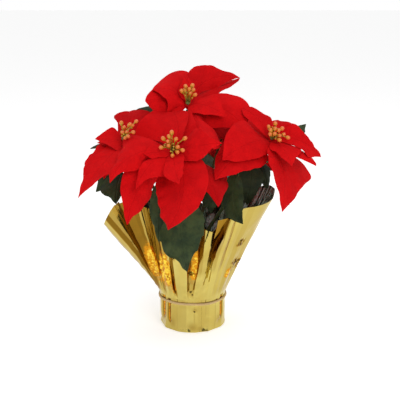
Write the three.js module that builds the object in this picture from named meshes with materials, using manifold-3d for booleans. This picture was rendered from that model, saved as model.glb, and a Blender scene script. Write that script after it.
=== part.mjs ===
// Artificial poinsettia bush in a foil-wrapped pot. Millimetres, +Z up.
// Origin: centre of the flat underside of the foil wrap.
import * as THREE from "three";
import { mergeVertices } from "three/addons/utils/BufferGeometryUtils.js";
import Module from "manifold-3d";

const wasm = await Module();
wasm.setup();

// ---------------------------------------------------------------- driving dimensions
const WELD = 0.12; // corners closer than this are welded when pieces are joined
const CLOTH = 1.2; // stiffened bract and leaf cloth, with its hem
const FOIL = 0.8; // gathered film, two or three layers thick
const WRAP_R = 55; // outside radius of the wrapped pot
const NECK_Z = 58; // height where the collar starts to flare
const TIE_Z = 50; // height of the cord
const CORD_R = 1.5;
const GROOVE = 0.9; // how deep the cord draws the film in
const POT_H = 98;
const POT_R_TOP = 51.5;
const POT_R_BASE = 46.5;
const POT_WALL = 2.2;
const POT_LIP_R = 53.2;
const FILL_TOP = 62;
const TRUNK_R = 7;
const BRANCH_R = 2.6;
const TIP_R = 1.5; // stem tip that carries the stamped layers
const HUB_R = 4.6;
const HUB_HOLE = 1.95;
const HUB_T = 1.0;
const PETIOLE_R = 1.1;
const BERRY_R = 3.5;
const STALK_R = 0.75;
// distance of each stamped layer's hub below the flower seat, along the head's axis
const SEAT = { S: -1.9, M: -3.9, L: -7.0, L2: -10.0 };
const SHOULDER = -18.0; // the branch's shoulder under the lowest layer

// ---------------------------------------------------------------- tables
// flower heads: seat point and axis
const HEADS = {
  A: [[-28.65, -90, 315.07], [-0.0997, -0.7376, 0.6678]],
  B: [[-6.78, 10, 371.84], [0.0201, -0.6221, 0.7827]],
  C: [[127.68, -20, 320.18], [0.2205, -0.6215, 0.7518]],
  D: [[-106.61, -48, 324], [-0.2793, -0.5486, 0.788]],
  E: [[52, 108, 300], [0.2806, 0.6213, 0.7316]],
  F: [[-72, 88, 296], [-0.5, 0.45, 0.74]],
};
// bracts and leaves: [name, layer, base, tip, up axis, arch, bend, roll, twist, curl, half widths left/right, width stations left/right]
const SHEETS = [
  ["A1", "L", [-28.1, -86.8, 308.2], [-33, -213.8, 224.4], [-0.1, -0.738, 0.668], 4.8, -27.1, -15.4, -10, 0.4, 39.8, 54.4, [0.12, 0.43, 0.88, 0.96, 0.93, 0.8, 0.56, 0.24, 0], [0.12, 0.39, 0.81, 0.88, 0.85, 0.75, 0.59, 0.25, 0]],
  ["A2", "L2", [-29.1, -83.9, 305.9], [-95.4, -163, 217], [-0.1, -0.738, 0.668], 9.5, 22.8, 55.6, -9.8, 0.78, 42, 31.6, [0.1, 0.25, 0.56, 0.68, 0.89, 0.84, 0.49, 0.2, 0], [0.1, 0.36, 0.83, 1.01, 1.05, 0.84, 0.42, 0.18, 0]],
  ["A3", "L", [-30.3, -85.9, 308.9], [-118.9, -163.7, 281.1], [-0.1, -0.738, 0.668], 26, 36.7, 10.4, -22.9, 1.09, 23.9, 38.5, [0.1, 0.18, 0.4, 0.49, 0.91, 0.88, 0.36, 0.16, 0], [0.1, 0.58, 1.31, 1.6, 0.89, 0.44, 0.26, 0.15, 0]],
  ["A4", "L", [-28.6, -82.8, 312.5], [-46, 17.2, 349.4], [-0.1, -0.738, 0.668], 64.8, 37.7, 15.5, -58.9, -0.18, 59.8, 20, [0.1, 0.41, 0.93, 1.14, 1.08, 0.83, 0.5, 0.2, 0], [0.1, 0.27, 0.61, 0.75, 1.01, 0.86, 0.32, 0.14, 0]],
  ["A5", "M", [-25.7, -87.4, 312.6], [45.3, -124.4, 332.8], [-0.1, -0.738, 0.668], 20.2, 6.4, -4.1, -59.9, 0.41, 26.1, 20.7, [0.12, 0.53, 1.08, 1.17, 1.17, 0.89, 0.38, 0.18, 0], [0.12, 0.46, 0.95, 1.03, 1.1, 0.85, 0.36, 0.17, 0]],
  ["A6", "S", [-30.6, -89, 313.1], [-71.5, -116.2, 314.3], [-0.1, -0.738, 0.668], 8.3, -1.4, -6.9, 38.4, 0.12, 14.9, 16.4, [0.1, 0.27, 0.61, 0.74, 0.65, 0.6, 0.63, 0.25, 0], [0.1, 0.32, 0.72, 0.88, 0.91, 0.82, 0.58, 0.22, 0]],
  ["A7", "M", [-29.9, -88.4, 310.8], [-82.1, -149.1, 268.4], [-0.1, -0.738, 0.668], 26, 16.9, 8.2, -14.4, 0.14, 27.9, 12.6, [0.1, 0.48, 1.1, 1.34, 1.19, 0.8, 0.31, 0.14, 0], [0.1, 0.2, 0.47, 0.57, 0.77, 0.77, 0.46, 0.19, 0]],
  ["A8", "S", [-28.1, -90.1, 312.1], [-17.8, -176.5, 282.7], [-0.1, -0.738, 0.668], 8.1, 4.4, -6.3, -18, -0.09, 18.2, 19.7, [0.1, 0.34, 0.78, 0.95, 0.83, 0.69, 0.56, 0.22, 0], [0.1, 0.24, 0.54, 0.66, 0.87, 0.92, 0.66, 0.24, 0]],
  ["A10", "L2", [-26, -84.4, 306.7], [39.7, -132.5, 236.4], [-0.1, -0.738, 0.668], -4.6, -34.9, 48.5, -37.7, 0.52, 52.3, 29, [0.1, 0.4, 0.9, 1.1, 1.14, 0.88, 0.39, 0.17, 0], [0.1, 0.33, 0.76, 0.92, 0.93, 0.73, 0.35, 0.16, 0]],
  ["A11", "L2", [-27.5, -80.6, 310.6], [-3.3, -17.3, 364.9], [-0.1, -0.738, 0.668], 24.8, -0.9, 13.8, 16.2, 0.13, 26.9, 26.5, [0.1, 0.35, 0.81, 0.98, 0.95, 0.79, 0.51, 0.2, 0], [0.1, 0.42, 0.95, 1.16, 0.97, 0.71, 0.42, 0.18, 0]],
  ["B1a", "L", [-4.6, 15.8, 367.5], [80.1, 89.1, 402.1], [0.02, -0.622, 0.783], 15.9, -44.7, -48.2, 44, 0.14, 29.8, 21.4, [0.1, 0.36, 0.82, 1, 0.98, 0.74, 0.38, 0.17, 0], [0.1, 0.18, 0.4, 0.49, 0.72, 0.77, 0.5, 0.2, 0]],
  ["B1b", "L2", [-4.6, 17.7, 365.1], [80.7, 102, 400.4], [0.02, -0.622, 0.783], 3.3, -3.5, 13.2, 31.3, 0.49, 33.5, 12.1, [0.1, 0.37, 0.85, 1.04, 1.16, 1.18, 1.13, 0.94, 0], [0.1, 0.36, 0.82, 1, 0.88, 0.9, 0.85, 0.55, 0]],
  ["B2a", "L", [-9.3, 15.8, 367.6], [-64.5, 6.1, 393.5], [0.02, -0.622, 0.783], 28.3, 35.8, 2.4, -49.6, 0.36, 34.5, 46.6, [0.1, 0.41, 0.93, 1.13, 0.86, 0.68, 0.62, 0.25, 0], [0.1, 0.55, 1.26, 1.53, 1.33, 0.98, 0.53, 0.2, 0]],
  ["B2b", "L2", [-9.8, 15.3, 366.4], [-75, -9.5, 378.1], [0.02, -0.622, 0.783], 7.9, 14.2, 16.3, 7.5, 0.46, 30, 30, [0.1, 0.5, 0.8, 0.82, 0.8, 0.76, 0.62, 0.36, 0], [0.1, 0.4, 0.8, 0.98, 1.02, 0.9, 0.6, 0.32, 0]],
  ["B2c", "M", [-7, 14.5, 370.4], [-10.3, 38.5, 415.1], [0.02, -0.622, 0.783], 20.5, 7.3, -22.4, -3.3, 0.29, 15.2, 12.3, [0.1, 0.41, 0.93, 1.14, 0.95, 0.69, 0.42, 0.18, 0], [0.1, 0.31, 0.7, 0.85, 0.89, 0.77, 0.45, 0.19, 0]],
  ["B4", "M", [-4.6, 11.4, 367.9], [53.6, -31.7, 356.1], [0.02, -0.622, 0.783], 35.6, 1.7, -0.1, -9.3, 0, 24.5, 22.3, [0.1, 0.31, 0.7, 0.85, 1.07, 0.96, 0.45, 0.18, 0], [0.1, 0.37, 0.83, 1.01, 0.91, 0.72, 0.45, 0.19, 0]],
  ["B5", "M", [-5.7, 10.6, 367.3], [33.5, -122.2, 321.7], [0.02, -0.622, 0.783], 4.8, 0.9, -0.7, 58.9, 1.14, 31.5, 16.1, [0.1, 0.19, 0.44, 0.53, 1.11, 1.36, 0.79, 0.26, 0], [0.1, 0.25, 0.57, 0.7, 0.71, 0.63, 0.45, 0.19, 0]],
  ["B6", "L", [-4.4, 13.1, 365.3], [85.7, -25.2, 332.5], [0.02, -0.622, 0.783], 33.5, -22.2, -4.2, -17, 0.38, 45.7, 38.5, [0.1, 0.26, 0.59, 0.72, 0.87, 0.87, 0.68, 0.25, 0], [0.1, 0.36, 0.82, 1, 0.96, 0.79, 0.49, 0.2, 0]],
  ["B7", "L2", [-7.1, 18.6, 365.9], [-11.4, 113, 388.7], [0.02, -0.622, 0.783], 16, 0, 0, 0, 0.45, 32, 32, [0.1, 0.36, 0.82, 1, 0.96, 0.79, 0.49, 0.2, 0], [0.1, 0.36, 0.82, 1, 0.96, 0.79, 0.49, 0.2, 0]],
  ["C1a", "L", [123.9, -17.4, 314.1], [46.4, -87.7, 299], [0.221, -0.621, 0.752], 28.6, 5.4, 12.7, 51.1, 0.18, 36.1, 42.2, [0.1, 0.26, 0.6, 0.73, 0.72, 0.65, 0.5, 0.21, 0], [0.1, 0.34, 0.78, 0.95, 0.91, 0.8, 0.61, 0.23, 0]],
  ["C1b", "L2", [123.4, -15.7, 311.7], [35.5, -103.3, 271.1], [0.221, -0.621, 0.752], 7.5, 16.1, -7.1, 2.9, 0.37, 35.8, 39.3, [0.1, 0.37, 0.83, 1.02, 0.88, 0.7, 0.47, 0.2, 0], [0.1, 0.39, 0.88, 1.07, 0.92, 0.7, 0.45, 0.19, 0]],
  ["C2", "M", [125.2, -16.3, 318.8], [76.8, -2.2, 367.3], [0.221, -0.621, 0.752], 34, -0.4, -7, 21.9, 0.03, 18.5, 22.2, [0.1, 0.27, 0.61, 0.74, 0.7, 0.66, 0.65, 0.25, 0], [0.1, 0.41, 0.93, 1.14, 0.83, 0.63, 0.55, 0.23, 0]],
  ["C3", "M", [128.9, -18.4, 315.9], [204.5, -38.9, 293.2], [0.221, -0.621, 0.752], 39.7, -14, -12, 19.6, -0.44, 17.9, 38.3, [0.1, 0.53, 1.21, 1.48, 0.97, 0.56, 0.29, 0.15, 0], [0.1, 0.11, 0.25, 0.31, 0.38, 0.52, 0.72, 0.28, 0]],
  ["C3b", "L2", [127.5, -15.2, 310.9], [192.5, -74.7, 286.6], [0.221, -0.621, 0.752], 11.1, -26.2, 42.8, -50.9, 1.01, 24.1, 23.1, [0.1, 0.29, 0.67, 0.81, 0.92, 0.84, 0.54, 0.21, 0], [0.1, 0.35, 0.8, 0.97, 0.87, 0.69, 0.44, 0.19, 0]],
  ["C4", "L", [126.5, -17.9, 313], [138.5, -106.6, 221.4], [0.221, -0.621, 0.752], 14.6, -14.9, 29.4, 8.7, 0.03, 51.2, 31, [0.1, 0.53, 1.22, 1.48, 1.04, 0.71, 0.42, 0.19, 0], [0.1, 0.34, 0.77, 0.94, 0.92, 0.75, 0.46, 0.19, 0]],
  ["C5", "M", [127.9, -19.2, 315.6], [154.5, -82.7, 288.4], [0.221, -0.621, 0.752], 19, -3.6, -4.7, 3.1, 0.16, 26, 17.3, [0.1, 0.29, 0.65, 0.79, 1.07, 1, 0.48, 0.19, 0], [0.1, 0.34, 0.79, 0.96, 0.81, 0.66, 0.52, 0.21, 0]],
  ["C6", "L", [127.7, -13.5, 316.3], [140.5, 46, 337.8], [0.221, -0.621, 0.752], 14, -21.3, 19, 24.8, 0.16, 28.1, 38.9, [0.1, 0.35, 0.8, 0.98, 0.93, 0.76, 0.48, 0.2, 0], [0.1, 0.36, 0.82, 1, 0.97, 0.84, 0.57, 0.22, 0]],
  ["C7", "L2", [125.5, -11.5, 314.6], [89.3, 52.9, 340], [0.221, -0.621, 0.752], 10, 1.6, 4.2, -2.1, 0.38, 30, 27.7, [0.1, 0.35, 0.81, 0.98, 0.95, 0.79, 0.5, 0.2, 0], [0.1, 0.35, 0.8, 0.98, 0.93, 0.77, 0.48, 0.2, 0]],
  ["D1", "L", [-104.7, -41.7, 320.2], [-95.9, 33.3, 356.6], [-0.279, -0.549, 0.788], 22.6, 7.2, -18.9, 14.4, -0.22, 28.7, 43.8, [0.1, 0.22, 0.51, 0.62, 0.9, 0.9, 0.5, 0.2, 0], [0.1, 0.36, 0.82, 1, 0.98, 0.83, 0.54, 0.21, 0]],
  ["D2a", "M", [-107.1, -47.2, 319.4], [-150.5, -62.4, 326.8], [-0.279, -0.549, 0.788], 7.9, 0.3, -2.3, -2.6, -0.26, 23.7, 21.7, [0.1, 0.44, 1, 1.22, 1.02, 0.77, 0.49, 0.2, 0], [0.1, 0.46, 1.05, 1.28, 1.07, 0.77, 0.44, 0.19, 0]],
  ["D2b", "L", [-107.3, -42.8, 318.5], [-149.9, -40.7, 316.2], [-0.279, -0.549, 0.788], 28.8, 0.6, -18, -5.3, 0.15, 19.7, 16.5, [0.1, 0.32, 0.72, 0.88, 0.96, 0.85, 0.53, 0.21, 0], [0.1, 0.37, 0.84, 1.03, 0.96, 0.77, 0.47, 0.2, 0]],
  ["D3a", "L", [-106.2, -46, 316.7], [-167.5, -155.6, 256.4], [-0.279, -0.549, 0.788], 20.9, -11, 3.2, -16.2, -0.1, 28.2, 27.2, [0.1, 0.36, 0.81, 0.99, 0.99, 0.79, 0.42, 0.18, 0], [0.1, 0.27, 0.61, 0.74, 0.97, 0.89, 0.45, 0.18, 0]],
  ["D3b", "L2", [-104.8, -44.7, 314.3], [-132, -121, 276.9], [-0.279, -0.549, 0.788], 19.3, 10.8, 28.8, -7, 0.15, 20.2, 20.5, [0.1, 0.36, 0.82, 1, 0.96, 0.79, 0.49, 0.2, 0], [0.1, 0.31, 0.71, 0.87, 0.96, 0.87, 0.53, 0.21, 0]],
  ["D3c", "L2", [-105.4, -44.3, 314.3], [-163.2, -110.1, 285.2], [-0.279, -0.549, 0.788], 12.3, 8.1, 16.8, -18.1, 0.26, 26.7, 24.2, [0.1, 0.36, 0.83, 1.01, 0.97, 0.79, 0.49, 0.2, 0], [0.1, 0.32, 0.74, 0.9, 0.75, 0.64, 0.55, 0.22, 0]],
  ["D4", "L2", [-103.9, -40, 317.8], [-97.1, 46.7, 337.7], [-0.279, -0.549, 0.788], 16, 0, 0, 0, 0.45, 28, 28, [0.1, 0.36, 0.82, 1, 0.96, 0.79, 0.49, 0.2, 0], [0.1, 0.36, 0.82, 1, 0.96, 0.79, 0.49, 0.2, 0]],
  ["E1", "L", [50.9, 105.7, 292.8], [70.3, 144.9, 192.3], [0.281, 0.621, 0.732], 15.6, 2.3, 14, 0, 0.4, 35, 35, [0.1, 0.36, 0.82, 1, 0.96, 0.79, 0.49, 0.2, 0], [0.1, 0.36, 0.82, 1, 0.96, 0.79, 0.49, 0.2, 0]],
  ["E2", "L", [47.8, 105.5, 294.1], [-43.2, 167.2, 239.8], [0.281, 0.621, 0.732], 19.7, 1.7, -0.8, -7.8, 0.17, 29.2, 32.6, [0.1, 0.33, 0.75, 0.91, 0.84, 0.7, 0.5, 0.21, 0], [0.1, 0.32, 0.73, 0.89, 0.88, 0.75, 0.5, 0.2, 0]],
  ["E3", "L", [47.6, 102.9, 296.4], [-30.3, 90.8, 334.4], [0.281, 0.621, 0.732], 23.7, 12.3, 7.4, -3.8, 0.22, 24.6, 42, [0.1, 0.34, 0.78, 0.95, 0.84, 0.67, 0.45, 0.19, 0], [0.1, 0.36, 0.81, 0.99, 0.97, 0.81, 0.49, 0.2, 0]],
  ["E4", "L", [50.8, 101.3, 296.6], [72.2, 21.5, 343.7], [0.281, 0.621, 0.732], 16, 0.7, 14, 0, 0.4, 38, 38, [0.1, 0.36, 0.82, 1, 0.96, 0.79, 0.49, 0.2, 0], [0.1, 0.36, 0.82, 1, 0.96, 0.79, 0.49, 0.2, 0]],
  ["E5", "L", [52.9, 103.2, 294.2], [146.5, 57.9, 244.6], [0.281, 0.621, 0.732], 15.6, 7.3, 14, 0, 0.4, 35, 35, [0.1, 0.36, 0.82, 1, 0.96, 0.79, 0.49, 0.2, 0], [0.1, 0.36, 0.82, 1, 0.96, 0.79, 0.49, 0.2, 0]],
  ["E1m", "M", [50.1, 107.9, 295.5], [29, 166.9, 247.2], [0.281, 0.621, 0.732], 20.2, 9.3, 6.2, 3.8, 0.3, 19.8, 21, [0.1, 0.34, 0.77, 0.94, 0.93, 0.79, 0.5, 0.2, 0], [0.1, 0.36, 0.82, 1, 0.96, 0.79, 0.49, 0.2, 0]],
  ["E2m", "M", [48, 106, 297.9], [-18.3, 122.8, 316.8], [0.281, 0.621, 0.732], 20.6, 7.3, 2.7, -5.2, 0.28, 17.4, 18.4, [0.1, 0.32, 0.72, 0.88, 0.87, 0.75, 0.49, 0.2, 0], [0.1, 0.36, 0.82, 1, 0.94, 0.76, 0.47, 0.2, 0]],
  ["E3m", "M", [50, 103.6, 299.2], [34.7, 75.9, 345], [0.281, 0.621, 0.732], 19.9, 2.8, 15.5, 6.2, 0.25, 17.1, 18.6, [0.1, 0.34, 0.78, 0.95, 0.97, 0.82, 0.5, 0.2, 0], [0.1, 0.37, 0.84, 1.02, 0.97, 0.79, 0.49, 0.2, 0]],
  ["E4m", "M", [53.2, 103.7, 297.8], [107.7, 61.8, 314.5], [0.281, 0.621, 0.732], 17, -0.8, 16.6, -0.5, 0.37, 21, 20.3, [0.1, 0.36, 0.82, 1, 0.96, 0.79, 0.49, 0.2, 0], [0.1, 0.35, 0.8, 0.98, 0.95, 0.79, 0.49, 0.2, 0]],
  ["E5m", "M", [53.3, 106.4, 295.5], [110.6, 121.2, 247.5], [0.281, 0.621, 0.732], 16.4, -0.4, 12.2, 0.4, 0.38, 22.2, 22, [0.1, 0.36, 0.83, 1.01, 0.96, 0.79, 0.49, 0.2, 0], [0.1, 0.36, 0.82, 1, 0.96, 0.79, 0.49, 0.2, 0]],
  ["F1", "L", [-70.2, 86.3, 288.8], [-109.6, 121.8, 187.9], [-0.5, 0.45, 0.74], 18, 0, 14, 0, 0.4, 36, 36, [0.1, 0.36, 0.82, 1, 0.96, 0.79, 0.49, 0.2, 0], [0.1, 0.36, 0.82, 1, 0.96, 0.79, 0.49, 0.2, 0]],
  ["F2", "L", [-70.9, 83.2, 290.2], [-138.2, 1, 254.1], [-0.5, 0.45, 0.74], 13.6, -13.9, 8.3, 1.6, 0.45, 34, 29.6, [0.1, 0.36, 0.82, 1, 0.96, 0.79, 0.49, 0.2, 0], [0.1, 0.32, 0.73, 0.89, 0.92, 0.79, 0.49, 0.2, 0]],
  ["F3", "L", [-68.3, 82.3, 292.5], [-60.4, -1.5, 337], [-0.5, 0.45, 0.74], 12.6, 7.5, 20.3, 0.5, 0.37, 31, 30.3, [0.1, 0.36, 0.82, 1, 0.96, 0.79, 0.49, 0.2, 0], [0.1, 0.35, 0.81, 0.98, 0.95, 0.79, 0.49, 0.2, 0]],
  ["F4", "L", [-66, 85.1, 292.4], [16.2, 76, 335.7], [-0.5, 0.45, 0.74], 16.8, 6.3, 14.2, 0.2, 0.4, 31.9, 32, [0.1, 0.36, 0.82, 1, 0.96, 0.79, 0.49, 0.2, 0], [0.1, 0.36, 0.82, 1, 0.96, 0.79, 0.49, 0.2, 0]],
  ["F5", "L", [-67.2, 87.5, 290.1], [-2.9, 162.6, 240.4], [-0.5, 0.45, 0.74], 17.5, 1.3, 12.7, 0.1, 0.4, 35, 35.2, [0.1, 0.36, 0.82, 1, 0.96, 0.79, 0.49, 0.2, 0], [0.1, 0.36, 0.82, 1, 0.96, 0.79, 0.49, 0.2, 0]],
  ["F1m", "M", [-72.6, 86.1, 291.5], [-131.8, 93.5, 243], [-0.5, 0.45, 0.74], 20.6, 11.5, 28, -7.8, 0.57, 18.3, 21, [0.1, 0.32, 0.72, 0.88, 0.93, 0.81, 0.49, 0.2, 0], [0.1, 0.36, 0.82, 1, 0.96, 0.79, 0.49, 0.2, 0]],
  ["F2m", "M", [-71.4, 83.7, 293.7], [-103.8, 31.5, 308.8], [-0.5, 0.45, 0.74], 19.1, 2.1, 7.7, -2.3, 0.35, 18.5, 20, [0.1, 0.34, 0.78, 0.95, 0.92, 0.76, 0.47, 0.2, 0], [0.1, 0.36, 0.82, 1, 0.96, 0.79, 0.49, 0.2, 0]],
  ["F3m", "M", [-68.4, 84.8, 295.1], [-41.1, 61.7, 339.8], [-0.5, 0.45, 0.74], 16.1, -0.7, 12.5, 0.1, 0.39, 18.1, 18, [0.1, 0.36, 0.82, 1, 0.96, 0.79, 0.49, 0.2, 0], [0.1, 0.36, 0.82, 1, 0.96, 0.79, 0.49, 0.2, 0]],
  ["F4m", "M", [-67.6, 87.9, 293.7], [-11.3, 117.8, 310.2], [-0.5, 0.45, 0.74], 19.6, -6.9, 12.8, 5.4, 0.34, 20.8, 18.6, [0.1, 0.37, 0.85, 1.03, 0.97, 0.78, 0.48, 0.2, 0], [0.1, 0.34, 0.78, 0.95, 0.93, 0.78, 0.49, 0.2, 0]],
  ["F5m", "M", [-70.2, 88.8, 291.5], [-69.1, 147.5, 243.9], [-0.5, 0.45, 0.74], 18.2, 3.8, 11.2, 0.4, 0.36, 20.3, 21, [0.1, 0.35, 0.79, 0.96, 0.94, 0.78, 0.49, 0.2, 0], [0.1, 0.36, 0.82, 1, 0.96, 0.79, 0.49, 0.2, 0]],
  ["G1", "G", [-18.5, -78, 252.3], [-7.8, -99.3, 121.6], [0, -0.954, 0.301], 25, 7.4, 14.4, 34.3, -0.3, 34.4, 33.3, [0.06, 0.32, 0.84, 1.08, 1.09, 0.92, 0.58, 0.23, 0], [0.06, 0.22, 0.58, 0.74, 1.11, 1.04, 0.47, 0.19, 0]],
  ["G2", "G", [-43.7, -66, 271.8], [-51.6, -92, 167], [-0.302, -0.905, 0.302], 12, 0, 0, 0, 0.35, 20, 20, [0.06, 0.3, 0.78, 1, 0.93, 0.74, 0.46, 0.2, 0], [0.06, 0.3, 0.78, 1, 0.93, 0.74, 0.46, 0.2, 0]],
  ["G3", "G", [72.7, -48, 277.4], [79.1, -102, 200.9], [0.1, -0.949, 0.3], -18.8, 23.5, -24, -29.9, 0.61, 18.3, 27.3, [0.06, 0.25, 0.64, 0.82, 0.84, 0.73, 0.48, 0.21, 0], [0.06, 0.2, 0.52, 0.66, 0.91, 0.89, 0.55, 0.22, 0]],
  ["G4", "G", [-115.1, -34, 274.2], [-154, -38.7, 235.9], [-0.503, -0.704, 0.503], 8.1, 2.7, 25.4, -4.1, 0.45, 17.5, 19.2, [0.06, 0.3, 0.77, 0.98, 0.86, 0.68, 0.46, 0.2, 0], [0.06, 0.3, 0.78, 1, 0.94, 0.75, 0.47, 0.2, 0]],
  ["G4b", "G", [-111.7, -38, 268.6], [-117.7, -89.4, 229.5], [-0.408, -0.816, 0.408], 16.9, 2.7, 13.9, -6.3, 0.21, 20, 26, [0.06, 0.3, 0.78, 1, 0.93, 0.74, 0.46, 0.2, 0], [0.06, 0.29, 0.75, 0.96, 1.11, 0.94, 0.45, 0.19, 0]],
  ["G5", "G", [96.9, -8, 281.6], [89.3, -16, 208.2], [0.303, -0.808, 0.505], 12, 0, 0, 0, 0.35, 24, 24, [0.06, 0.3, 0.78, 1, 0.93, 0.74, 0.46, 0.2, 0], [0.06, 0.3, 0.78, 1, 0.93, 0.74, 0.46, 0.2, 0]],
  ["G5b", "G", [111.8, 22, 275.1], [123, 4, 228.5], [0.503, -0.704, 0.503], 12, 0, 0, 0, 0.35, 16, 16, [0.06, 0.3, 0.78, 1, 0.93, 0.74, 0.46, 0.2, 0], [0.06, 0.3, 0.78, 1, 0.93, 0.74, 0.46, 0.2, 0]],
  ["G6", "G", [-40.5, 46, 351.2], [-93.3, 43.9, 354.9], [-0.303, -0.505, 0.808], 11.6, -0.4, -1, -0.9, 0.36, 16, 15.9, [0.06, 0.3, 0.78, 1, 0.93, 0.74, 0.46, 0.2, 0], [0.06, 0.3, 0.78, 1, 0.93, 0.74, 0.46, 0.2, 0]],
  ["G7", "G", [153.4, 14, 307], [190.3, 58, 329], [0.408, -0.408, 0.816], 7.8, -2.1, 11.2, 10.7, 0.47, 15.4, 14.8, [0.06, 0.3, 0.78, 1, 0.93, 0.74, 0.45, 0.2, 0], [0.06, 0.3, 0.78, 1, 0.93, 0.73, 0.44, 0.2, 0]],
  ["G8", "G", [-121.3, -26, 311.6], [-161.6, -38.2, 306], [-0.39, -0.488, 0.781], 11.9, 2.8, 2.8, 2.3, 0.34, 8, 8, [0.06, 0.3, 0.78, 1, 0.93, 0.74, 0.46, 0.2, 0], [0.06, 0.3, 0.78, 1, 0.93, 0.74, 0.46, 0.2, 0]],
  ["G9", "G", [150.1, 4, 270.6], [157.1, -24, 210.4], [0.408, -0.816, 0.408], 12, 0, 0, 0, 0.35, 16, 16, [0.06, 0.3, 0.78, 1, 0.93, 0.74, 0.46, 0.2, 0], [0.06, 0.3, 0.78, 1, 0.93, 0.74, 0.46, 0.2, 0]],
  ["G10", "G", [28.6, -34, 244.6], [30.3, -40, 201.3], [0.101, -0.909, 0.404], 12, 0, 0, 0, 0.35, 17, 17, [0.06, 0.3, 0.78, 1, 0.93, 0.74, 0.46, 0.2, 0], [0.06, 0.3, 0.78, 1, 0.93, 0.74, 0.46, 0.2, 0]],
  ["G11", "G", [-6, 66, 252], [-18, 128, 200], [0, 0.8, 0.6], 12, 0, 0, 0, 0.35, 25, 25, [0.06, 0.3, 0.78, 1, 0.93, 0.74, 0.46, 0.2, 0], [0.06, 0.3, 0.78, 1, 0.93, 0.74, 0.46, 0.2, 0]],
  ["G12", "G", [60, 72, 240], [112, 108, 198], [0.609, 0.609, 0.508], 12, 0, 0, 0, 0.35, 23, 23, [0.06, 0.3, 0.78, 1, 0.93, 0.74, 0.46, 0.2, 0], [0.06, 0.3, 0.78, 1, 0.93, 0.74, 0.46, 0.2, 0]],
  ["G13", "G", [-66, 58, 238], [-124, 84, 202], [-0.704, 0.503, 0.503], 12, 0, 0, 0, 0.35, 22, 22, [0.06, 0.3, 0.78, 1, 0.93, 0.74, 0.46, 0.2, 0], [0.06, 0.3, 0.78, 1, 0.93, 0.74, 0.46, 0.2, 0]],
  ["G14", "G", [19.5, 86, 275.2], [44, 142, 200], [0.207, 0.83, 0.518], 12, 0, 0, 0, 0.35, 26, 26, [0.06, 0.3, 0.78, 1, 0.93, 0.74, 0.46, 0.2, 0], [0.06, 0.3, 0.78, 1, 0.93, 0.74, 0.46, 0.2, 0]],
];
// berries of each head: [across, along, height] from the seat, in the head's own frame
const BERRIES = {
  A: [[-12.3, 8.4, 21], [-15.5, -5.4, 18], [-4.9, 2.4, 22], [-3.3, 9.6, 24], [1.2, 15.2, 26], [7.2, 5, 23], [20.9, 6.2, 22], [-4.2, -3.8, 19.5], [9.6, -7.1, 20], [17, -11.9, 18], [8.9, -13.7, 16.5], [1.2, -17.7, 14]],
  B: [[-4.2, 10.9, 27], [6.5, 12, 28], [-10.3, 3.6, 24], [-5.7, 7.8, 21], [1.8, 6.3, 25.5], [8, 7.3, 23], [3.9, 2.4, 20], [11, -1.5, 21]],
  C: [[-12, 2.6, 23], [-1.5, 9.1, 25], [-1.6, 0.8, 22], [-8.1, -2, 20], [4.5, -2, 22.5], [9.2, 0.8, 25], [-8.4, -7.8, 17.5], [-1.6, -6.6, 18.5], [6.5, -9.2, 19], [12.6, -7.2, 21], [6.7, -15.7, 16], [19.5, -11.7, 20]],
  D: [[3.7, 11.3, 24], [7.5, 2.9, 21.5], [18.2, 2.7, 25], [21.6, 2.1, 22], [29, 5.5, 26], [11.4, -6.2, 19], [24.8, -15.5, 25], [4.1, -4.1, 18], [16.3, -21.3, 24], [10.6, -20.3, 21]],
  E: [[3.3, 0, 20], [-3.9, 3.6, 23], [0.6, -6.7, 18], [4.9, 6.3, 22], [-8.9, -1.5, 17], [8.4, -5.4, 20], [-2.7, 10.4, 23], [-5.4, -10.2, 18]],
  F: [[3, 1.3, 20], [-5, 1.8, 23], [3.2, -6, 18], [2, 7.7, 22], [-7.6, -4.9, 17], [9.8, -1.7, 20], [-6.6, 8.5, 23], [-1, -11.5, 18]],
};
// branches: trunk height, lean points
const BRANCHES = [
  ["A", 112, [-6, -6, 190], 56],
  ["B", 118, [-3, 14, 230], 62],
  ["C", 108, [36, 10, 196], 56],
  ["D", 104, [-32, 2, 196], 56],
  ["E", 100, [14, 26, 185], 56],
  ["F", 96, [-20, 22, 180], 56],
];
// leaf stalks: leaf -> [branch, position along it]
const STALKS = {"G1": ["A", 0.64], "G2": ["A", 0.75], "G3": ["C", 0.47], "G4": ["D", 0.77], "G4b": ["D", 0.74], "G5": ["C", 0.77], "G5b": ["C", 0.74], "G6": ["B", 0.88], "G7": ["C", 0.93], "G8": ["D", 0.93], "G9": ["C", 0.77], "G10": ["A", 0.56], "G11": ["F", 0.69], "G12": ["E", 0.64], "G13": ["F", 0.66], "G14": ["E", 0.83]};
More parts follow.
